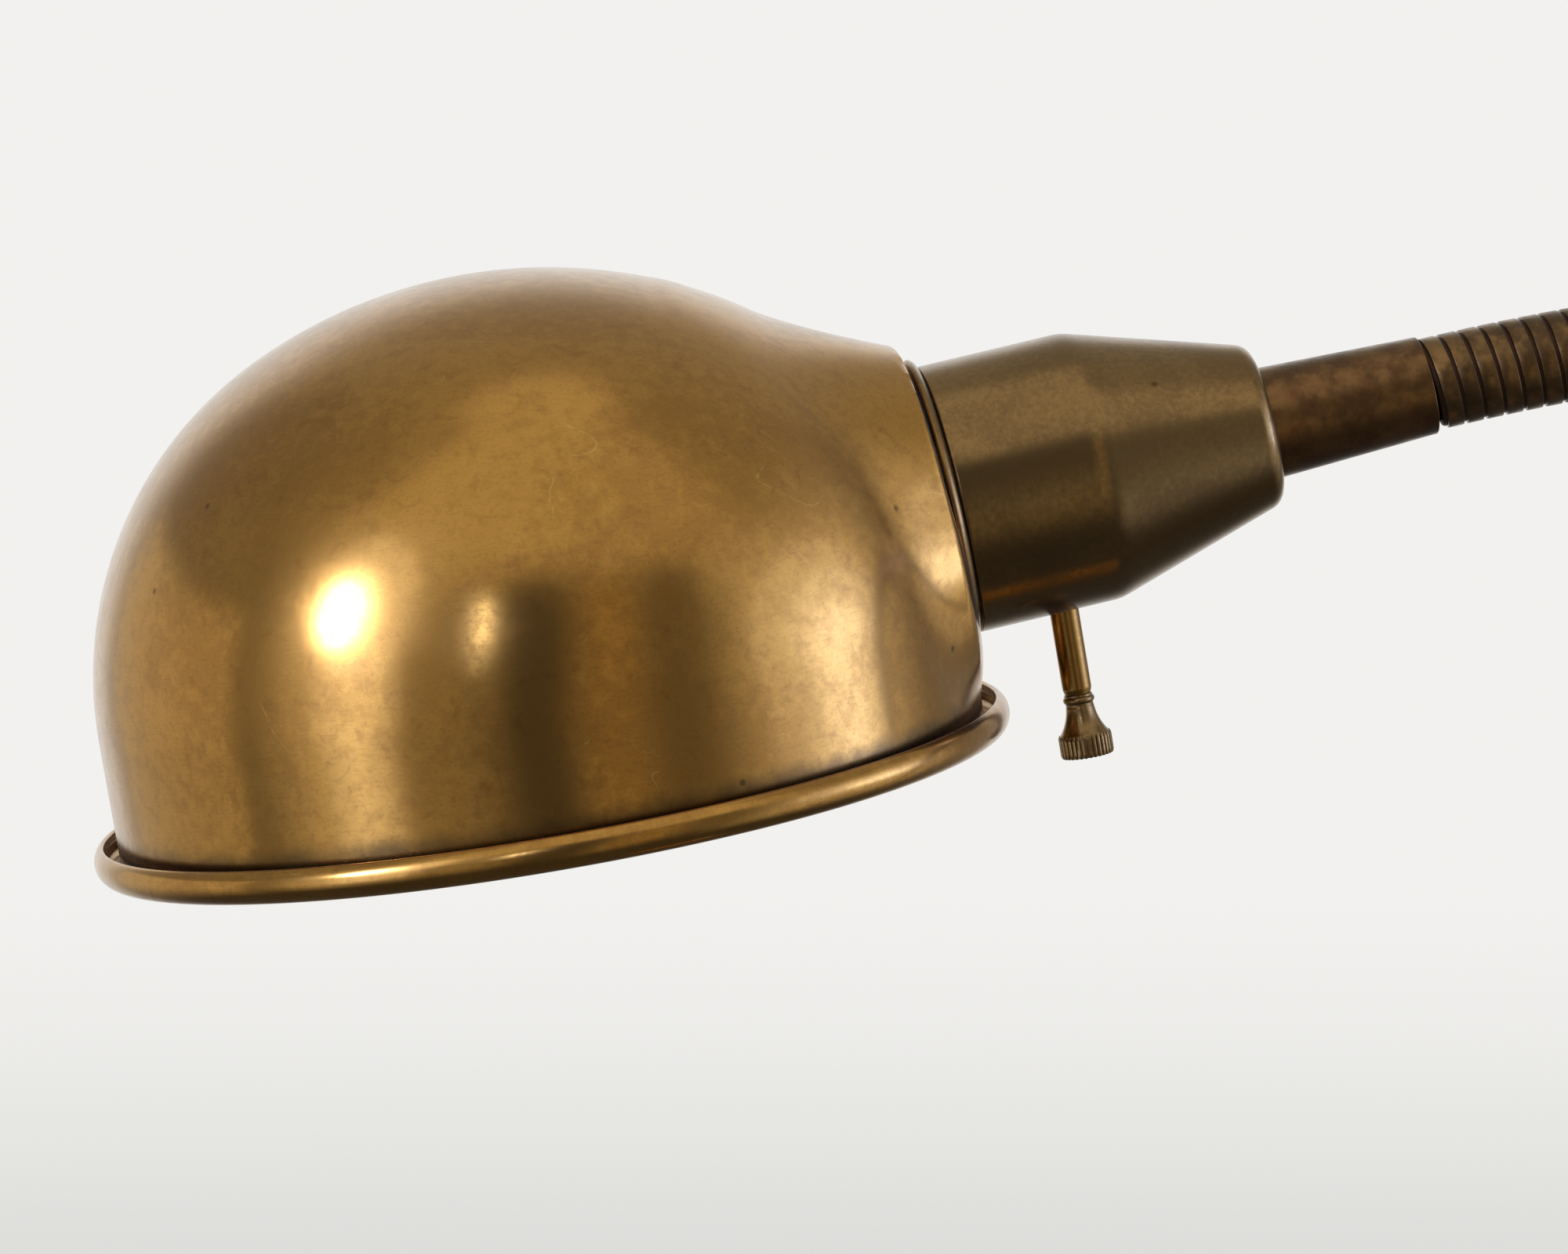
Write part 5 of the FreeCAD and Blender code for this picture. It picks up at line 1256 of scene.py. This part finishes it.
def build_foot(scene):
    """The pole's foot: a flange, a sweep up to the waist, and a bead and collar on top."""
    low, top = span("pole_foot", 2)
    wide = span("pole_foot", 0)[1]
    rise = top - low
    inside = span("outer_tube", 0)[1] + SLIDE
    waist = 13.5 * MM
    ledge = scene.lamp_stand.cover_wall
    shelf, bead = wide - ledge * 2, waist + ledge * 0.9
    outline = [(inside, low), (wide - 0.4 * MM, low), (wide, low + 0.4 * MM)]
    outline += [(wide, low + rise * 0.13), (wide - 0.25 * MM, low + rise * 0.16), (shelf, low + rise * 0.24)]
    outline += bow((shelf, low + rise * 0.26), (waist, low + rise * 0.78), rise * 0.8, 18)
    outline += bow((bead, low + rise * 0.79), (bead, low + rise * 0.95), -rise * 0.12, 12)
    outline += [(waist - ledge * 0.6, low + rise * 0.965), (waist - ledge, top), (inside, top)]
    turn_piece("pole_foot", outline, UPRIGHT, "stand_brass", 128, "stand", "pole_brass")


def build_pole(scene):
    """The two tubes of the sliding pole."""
    edge = scene.lamp_stand.edge * 0.6
    for name, wall, body in (("outer_tube", 1.5 * MM, "stand"), ("inner_tube", 1.0 * MM, "mast")):
        turn_piece(name, tube_outline(name, wall, edge), UPRIGHT, "stand_brass", 96, body, "pole_brass")


def build_clamp(scene):
    """The height clamp with its boss, thumb screw and knurled wheel."""
    low, top = span("pole_clamp", 2)
    radius = span("pole_clamp", 1)[1]
    guide = span("inner_tube", 0)[1] + SLIDE
    grip = span("outer_tube", 0)[1] + SLIDE
    seat = span("outer_tube", 2)[1]
    bead = 2.8 * MM
    clamp = turned("pole_clamp", eased([
        (guide, seat),
        (grip, seat),
        (grip, low, 0.2 * MM),
        (radius - bead, low, 0.5 * MM),
        (radius, low + bead, 1.2 * MM),
        (radius, top - bead * 2, 1.6 * MM),
        (11.9 * MM, top - 0.7 * MM, 0.6 * MM),
        (10.5 * MM, top, 0.4 * MM),
        (guide, top, 0.2 * MM),
    ]), UPRIGHT, finish("stand_brass"), 128)
    screw_height = middle_of("clamp_wheel", 2)
    screw_line = along_x(0.0, screw_height)
    root, tip = 12 * MM, span("pole_clamp", 0)[1]
    bore, collar, barrel = 3.1 * MM, 6.6 * MM, 6.0 * MM
    boss = turned("clamp_boss", eased([
        (bore, root),
        (collar, root),
        (collar, 15.2 * MM),
        (barrel, 16.4 * MM),
        (barrel, tip, 0.7 * MM),
        (bore, tip, 0.3 * MM),
    ]), screw_line, finish("stand_brass"), 64)
    settle(merged("pole_clamp", clamp, boss), "stand", "pole_brass", "pole_clamp")

    screw_low, screw_high = span("clamp_screw", 0)
    screw = [(0.0, screw_low), (2.3 * MM, screw_low)]
    pitch, groove, crest = 1.0 * MM, 2.55 * MM, 3.0 * MM
    turns = int((screw_high - screw_low - 1 * MM) / pitch)
    for turn in range(turns):
        start = screw_low + 0.7 * MM + turn * pitch
        screw += [(groove, start), (crest, start + pitch * 0.35), (crest, start + pitch * 0.6)]
    screw += [(2.6 * MM, screw_high), (0.0, screw_high)]
    turn_piece("clamp_screw", screw, screw_line, "stem_brass", 64, "thumb_screw", "bright_brass")

    wheel_low, wheel_high = span("clamp_wheel", 0)
    wheel_radius = span("clamp_wheel", 1)[1]
    thick = wheel_high - wheel_low
    core = wheel_radius - 0.6 * MM
    shoulder, dish = 1.7 * MM, thick - 0.7 * MM
    turn_piece("clamp_wheel", eased([
        (0.0, 0.0),
        (5.2 * MM, 0.0, 0.5 * MM),
        (core, shoulder, 1.0 * MM),
        (core, thick - 0.4 * MM, 0.9 * MM),
        (6.2 * MM, thick, 0.5 * MM),
        (5.4 * MM, dish, 0.4 * MM),
        (0.0, dish),
    ]), along_x(wheel_low, screw_height), "stand_brass", 96, "thumb_screw", "pole_brass")
    teeth = scene.lamp_stand.wheel_teeth
    rim_pitch = 2 * math.pi * wheel_radius / teeth
    ridges = grown("clamp_wheel_knurl", ridge_tree(), bpy.data.meshes.new("wheel_knurl"),
                   along_x(wheel_low + shoulder, screw_height), Count=teeth, Radius=core - 0.1 * MM,
                   Width=rim_pitch * 0.7, Depth=1.3 * MM, Length=thick - 2.6 * MM,
                   Material=finish("stand_brass"))
    settle(ridges, "thumb_screw", "pole_brass")


def build_swivel():
    """The swivel's cap on the upper tube, with its groove, and the nylon washer on it."""
    low, top = span("swivel_cap", 2)
    radius = span("swivel_cap", 1)[1]
    grip = span("inner_tube", 0)[1] + SLIDE
    shelf = span("inner_tube", 2)[1]
    pivot = 5.1 * MM
    groove, half = low + (top - low) * 0.3, 0.5 * MM
    turn_piece("swivel_cap", eased([
        (grip, low, 0.2 * MM),
        (radius, low, 1.0 * MM),
        (radius, groove - half, 0.2 * MM),
        (radius - half, groove),
        (radius, groove + half, 0.2 * MM),
        (radius, top, 1.0 * MM),
        (pivot, top),
        (pivot, shelf),
        (grip, shelf),
    ]), UPRIGHT, "stand_brass", 128, "mast", "pole_brass")
    washer_low, washer_top = span("swivel_washer", 2)
    washer_radius = span("swivel_washer", 1)[1]
    turn_piece("swivel_washer", eased([
        (pivot, washer_low),
        (washer_radius, washer_low, 0.25 * MM),
        (washer_radius, washer_top, 0.25 * MM),
        (pivot, washer_top),
    ]), UPRIGHT, "ivory_nylon", 96, "mast", "nylon")


# Finish of the nodes that stay as they are

NODE_FINISHES = {
    "aged_brass": "spun_brass",
    "dark_bronze": "cup_bronze",
    "ferrule_bronze": "ferrule_brass",
    "gooseneck_strip": "strip_bronze",
    "pole_brass": "stand_brass",
    "bright_brass": "stem_brass",
    "zinc_steel": "plated_steel",
    "cast_iron": "sand_cast_iron",
    "felt": "green_felt",
    "nylon": "ivory_nylon",
    "black_plastic": "bushing_plastic",
    "liner_fibre": "vulcanised_fibre",
    "phenolic": "pressed_phenolic",
    "frosted_glass": "opal_glass",
    "aluminium": "bare_aluminium",
}


def dress_nodes():
    """Give every CAD node the finish of its material slot; the ones that still show are inside the lamp."""
    for part in frame["record"]["subparts"]:
        piece = frame["nodes"][part["node"]]
        piece.data.materials.clear()
        piece.data.materials.append(finish(NODE_FINISHES[part["material_slot"]]))


# Stage

def direction(azimuth, elevation):
    """Unit vector towards a place round the lamp; azimuth 0 is the side of the camera, 90 is +X."""
    a, e = math.radians(azimuth), math.radians(elevation)
    return Vector((math.sin(a) * math.cos(e), -math.cos(a) * math.cos(e), math.sin(e)))


def build_camera(scene):
    """The photograph's view of the lamp head, through a long lens."""
    sensor, focal = 36.0, 160.9
    azimuth, elevation = -5.57, 6.5
    distance, aside, below = 1.34594, 0.050476, 0.004809
    socket_middle = LampPlaces(scene).socket.translation
    back = direction(azimuth, elevation)
    right = Vector((0, 0, 1)).cross(back).normalized()
    up = back.cross(right)
    data = bpy.data.cameras.new("camera")
    data.sensor_width = sensor
    data.lens = focal
    data.clip_end = 100
    camera = bpy.data.objects.new("camera", data)
    camera.matrix_world = Matrix((right, up, back)).transposed().to_4x4()
    camera.matrix_world.translation = socket_middle + right * aside - up * below + back * distance
    scene.collection.objects.link(camera)
    scene.camera = camera


def add_soft_box(scene, name, azimuth, elevation, width, height, radiance, warmth="#ffffff", oval=False,
                 mirrored=True):
    """A soft light that faces the lamp head and isn't seen itself.

    Its place and size are angles in degrees as the shade sees them."""
    distance, aim_height = 3.0, 0.04
    target = LampPlaces(scene).shade @ Vector((0.0, 0.0, aim_height))
    data = bpy.data.lights.new(name, "AREA")
    data.shape = "ELLIPSE" if oval else "RECTANGLE"
    data.size = 2 * distance * math.tan(math.radians(width) / 2)
    data.size_y = 2 * distance * math.tan(math.radians(height) / 2)
    area = data.size * data.size_y * (math.pi / 4 if oval else 1)
    data.energy = radiance * math.pi * area
    data.color = linear(warmth)[:3]
    light = bpy.data.objects.new(name, data)
    towards = direction(azimuth, elevation)
    light.matrix_world = (Matrix.Translation(target + towards * distance)
                          @ towards.to_track_quat("Z", "Y").to_matrix().to_4x4())
    light.visible_camera = False
    light.visible_glossy = mirrored
    scene.collection.objects.link(light)


def field(tree, azimuth, elevation, below, tone, middle, half_width, level, half_height, soft):
    """A soft-edged field of another brightness in the mirrored room, its place and size in degrees."""
    off = node(tree, "ShaderNodeMath", {0: azimuth, 1: math.radians(middle)}, operation="SUBTRACT")
    aside = node(tree, "ShaderNodeMath", {0: off, 1: math.pi, 2: -math.pi}, operation="WRAP")
    up = node(tree, "ShaderNodeMath", {0: elevation, 1: math.radians(level)}, operation="SUBTRACT")
    sides = []
    for way, half in ((aside, half_width), (up, half_height)):
        away = node(tree, "ShaderNodeMath", {0: way}, operation="ABSOLUTE")
        sides.append(node(tree, "ShaderNodeMapRange", {"Value": away, "From Min": math.radians(half - soft),
                                                       "From Max": math.radians(half + soft), "To Min": 1.0,
                                                       "To Max": 0.0}, **SMOOTH))
    mask = node(tree, "ShaderNodeMath", {0: sides[0], 1: sides[1]}, operation="MULTIPLY")
    return node(tree, "ShaderNodeMix", {"Factor": mask, "A": below, "B": linear(tone)}, **RGBA)


# The room that the metal mirrors: a dim studio with a bright ceiling, a white wall behind the lamp, and
# flags and panels round the camera. Each field is a grey, then the middle and half width of its azimuth,
# the middle and half height of its elevation, and the softness of its edge, in degrees.
ROOM_FIELDS = (
    ("#dcd2b9", 0, 66, 76, 42, 14),
    ("#dcd2b9", 0, 180, 90, 14, 6),
    ("#f2f1ee", 180, 33, -10, 42, 12),
    ("#9c9482", -122, 26, 34, 18, 12),
    ("#d9cfb6", -116, 28, -28, 42, 2.5),
    ("#958e7d", -78, 7, -18, 42, 5),
    ("#f6f0e2", -53, 19, -16, 58, 13),
    ("#a89f88", -30, 9, -23, 36, 4),
    ("#57534a", -3, 9, -14, 48, 5),
    ("#ad9c78", 17, 8, -14, 47, 4),
    ("#7c7667", 35, 8, -14, 48, 5),
    ("#f0eee8", 80, 27, -18, 52, 13),
)


def build_world(scene):
    """A pale background for what is seen directly, the room for what is mirrored, and an even light."""
    s = scene.lamp_stage
    world = bpy.data.worlds.new("studio")
    scene.world = world
    world.use_nodes = True
    tree = world.node_tree
    tree.nodes.clear()
    way = node(tree, "ShaderNodeTexCoord").outputs["Generated"]
    axes = node(tree, "ShaderNodeSeparateXYZ", {0: way}).outputs
    rising = node(tree, "ShaderNodeMapRange", {"Value": axes["Z"], "From Min": -0.235, "From Max": -0.145},
                  **SMOOTH)
    seen = node(tree, "ShaderNodeMix", {"Factor": rising, "A": s.background_low, "B": s.background_top},
                **RGBA)
    towards = node(tree, "ShaderNodeMath", {0: axes["Y"], 1: -1.0}, operation="MULTIPLY")
    azimuth = node(tree, "ShaderNodeMath", {0: axes["X"], 1: towards}, operation="ARCTAN2")
    elevation = node(tree, "ShaderNodeMath", {0: axes["Z"]}, operation="ARCSINE")
    ceiling = node(tree, "ShaderNodeMapRange", {"Value": elevation, "From Min": math.radians(22),
                                                "From Max": math.radians(42)}, **SMOOTH)
    room = node(tree, "ShaderNodeMix", {"Factor": ceiling, "A": linear("#958e7d"), "B": linear("#aea692")},
                **RGBA)
    for entry in ROOM_FIELDS:
        room = field(tree, azimuth, elevation, room, *entry)
    above_floor = node(tree, "ShaderNodeMapRange", {"Value": elevation, "From Min": math.radians(-46),
                                                    "From Max": math.radians(-6)}, **SMOOTH)
    room = node(tree, "ShaderNodeMix", {"Factor": above_floor, "A": linear("#4b473e"), "B": room}, **RGBA)
    rays = node(tree, "ShaderNodeLightPath").outputs
    direct = node(tree, "ShaderNodeBackground", {"Color": seen})
    mirrored = node(tree, "ShaderNodeBackground", {"Color": room})
    even = node(tree, "ShaderNodeBackground", {"Color": linear("#f4f4f2"), "Strength": s.ambient})
    bent = node(tree, "ShaderNodeMath", {0: rays["Is Glossy Ray"], 1: rays["Is Transmission Ray"]},
                operation="MAXIMUM")
    first = node(tree, "ShaderNodeMixShader", {0: bent, 1: even, 2: mirrored})
    second = node(tree, "ShaderNodeMixShader", {0: rays["Is Camera Ray"], 1: first,
                                                2: direct})
    node(tree, "ShaderNodeOutputWorld", {"Surface": second})


def build_floor(scene):
    """A pale round floor that fades out into the background."""
    radius, fade = 0.8, 0.3
    rings, steps = 24, 96
    points = [(0.0, 0.0, 0.0)]
    faces = []
    for ring in range(1, rings + 1):
        for step in range(steps):
            angle = 2 * math.pi * step / steps
            reach = radius * ring / rings
            points.append((reach * math.cos(angle), reach * math.sin(angle), 0.0))
    for step in range(steps):
        later = (step + 1) % steps
        faces.append((0, 1 + step, 1 + later))
        for ring in range(rings - 1):
            low = 1 + ring * steps
            faces.append((low + step, low + steps + step, low + steps + later, low + later))
    material = bpy.data.materials.new("pale_floor")
    material.use_nodes = True
    tree = material.node_tree
    tree.nodes.clear()
    here = node(tree, "ShaderNodeTexCoord").outputs["Object"]
    out = node(tree, "ShaderNodeVectorMath", {0: here}, operation="LENGTH")
    mask = node(tree, "ShaderNodeMapRange", {"Value": out, "From Min": fade, "From Max": radius * 0.98},
                **SMOOTH)
    matt = node(tree, "ShaderNodeBsdfPrincipled", {"Base Color": scene.lamp_stage.floor, "Roughness": 0.85})
    clear = node(tree, "ShaderNodeBsdfTransparent")
    surface = node(tree, "ShaderNodeMixShader", {0: mask, 1: matt, 2: clear})
    node(tree, "ShaderNodeOutputMaterial", {"Surface": surface})
    floor = new_piece("floor", points, faces, material)
    floor.visible_glossy = False


# Operators

class LAMP_OT_shade(bpy.types.Operator):
    """Spin the domed shade with its side neck and rolled rim"""
    bl_idname = "lamp.shade"
    bl_label = "Shade"

    def execute(self, context):
        build_shade(context.scene)
        return {"FINISHED"}


class LAMP_OT_socket(bpy.types.Operator):
    """Turn the flared ring and the socket cup"""
    bl_idname = "lamp.socket"
    bl_label = "Socket cup"

    def execute(self, context):
        build_ring(context.scene)
        build_cup(context.scene)
        return {"FINISHED"}


class LAMP_OT_switch(bpy.types.Operator):
    """Turn the switch stem and its knurled knob"""
    bl_idname = "lamp.switch"
    bl_label = "Switch"

    def execute(self, context):
        build_switch(context.scene)
        return {"FINISHED"}


class LAMP_OT_bulb(bpy.types.Operator):
    """Blow the bulb and roll its screw cap"""
    bl_idname = "lamp.bulb"
    bl_label = "Bulb"

    def execute(self, context):
        build_bulb(context.scene)
        return {"FINISHED"}


class LAMP_OT_gooseneck(bpy.types.Operator):
    """Wind the gooseneck and fit its ferrules"""
    bl_idname = "lamp.gooseneck"
    bl_label = "Gooseneck"

    def execute(self, context):
        build_gooseneck(context.scene)
        return {"FINISHED"}


class LAMP_OT_stand(bpy.types.Operator):
    """Turn the base, the pole, its clamp and the swivel"""
    bl_idname = "lamp.stand"
    bl_label = "Stand"

    def execute(self, context):
        build_base(context.scene)
        build_foot(context.scene)
        build_pole(context.scene)
        build_clamp(context.scene)
        build_swivel()
        return {"FINISHED"}


class LAMP_OT_finishes(bpy.types.Operator):
    """Give the inner pieces the finish of their material slots"""
    bl_idname = "lamp.finishes"
    bl_label = "Inner pieces"

    def execute(self, context):
        dress_nodes()
        return {"FINISHED"}


class LAMP_OT_stage(bpy.types.Operator):
    """Set up the camera, the soft lights, the background and the floor"""
    bl_idname = "lamp.stage"
    bl_label = "Stage"

    def execute(self, context):
        scene = context.scene
        s = scene.lamp_stage
        scene.view_settings.view_transform = "Standard"
        build_camera(scene)
        build_world(scene)
        build_floor(scene)
        add_soft_box(scene, "key_light", -57, 20, 11, 17, s.key, "#eef3ff", oval=True)
        add_soft_box(scene, "key_diffuser", -55, 21, 16, 24, s.glow, "#dce6ff", oval=True)
        add_soft_box(scene, "key_scrim", -51, 22, 27, 40, s.glow * 0.35, "#ccdaff", oval=True)
        add_soft_box(scene, "key_spill", -50, 0, 15, 34, s.spill, "#d0deff", oval=True)
        add_soft_box(scene, "key_spill_scrim", -50, 0, 24, 46, s.spill * 0.45, "#c8d8ff", oval=True)
        add_soft_box(scene, "spot_light", -17, 20, 3, 14, s.spot, "#dce6ff", oval=True)
        add_soft_box(scene, "spot_scrim", -18, 18, 8, 24, s.spot * 0.2, "#d0deff", oval=True)
        add_soft_box(scene, "side_light", 82, 6, 19, 15, s.side, "#b4c8ff", oval=True)
        add_soft_box(scene, "side_diffuser", 81, 8, 31, 25, s.side * 0.6, "#b4c8ff", oval=True)
        add_soft_box(scene, "side_scrim", 78, 9, 46, 38, s.side * 0.35, "#b0c6ff", oval=True)
        add_soft_box(scene, "overhead_light", 150, 72, 40, 40, s.overhead, mirrored=False)
        return {"FINISHED"}


class LAMP_PT_panel(bpy.types.Panel):
    """The lamp's groups of pieces"""
    bl_idname = "LAMP_PT_panel"
    bl_label = "Floor lamp"
    bl_space_type = "VIEW_3D"
    bl_region_type = "UI"
    bl_category = "Lamp"

    def draw(self, context):
        for operator in OPERATORS:
            self.layout.operator(operator.bl_idname)


GROUPS = {
    "lamp_shade": ShadeSizes,
    "lamp_arm": ArmSizes,
    "lamp_head": HeadSizes,
    "lamp_stand": StandSizes,
    "lamp_colours": LampColours,
    "lamp_stage": StageSettings,
}
OPERATORS = (LAMP_OT_stage, LAMP_OT_shade, LAMP_OT_socket, LAMP_OT_switch, LAMP_OT_bulb, LAMP_OT_gooseneck,
             LAMP_OT_stand, LAMP_OT_finishes)


def register():
    for group in GROUPS.values():
        bpy.utils.register_class(group)
    for name, group in GROUPS.items():
        setattr(bpy.types.Scene, name, PointerProperty(type=group))
    for operator in OPERATORS:
        bpy.utils.register_class(operator)
    bpy.utils.register_class(LAMP_PT_panel)


def unregister():
    bpy.utils.unregister_class(LAMP_PT_panel)
    for operator in reversed(OPERATORS):
        bpy.utils.unregister_class(operator)
    for name, group in GROUPS.items():
        delattr(bpy.types.Scene, name)
        bpy.utils.unregister_class(group)


def main():
    register()
    bpy.ops.lamp.stage()
    bpy.ops.lamp.shade()
    bpy.ops.lamp.socket()
    bpy.ops.lamp.switch()
    bpy.ops.lamp.bulb()
    bpy.ops.lamp.gooseneck()
    bpy.ops.lamp.stand()
    bpy.ops.lamp.finishes()
    bpy.context.view_layer.update()


if __name__ == "__main__":
    main()
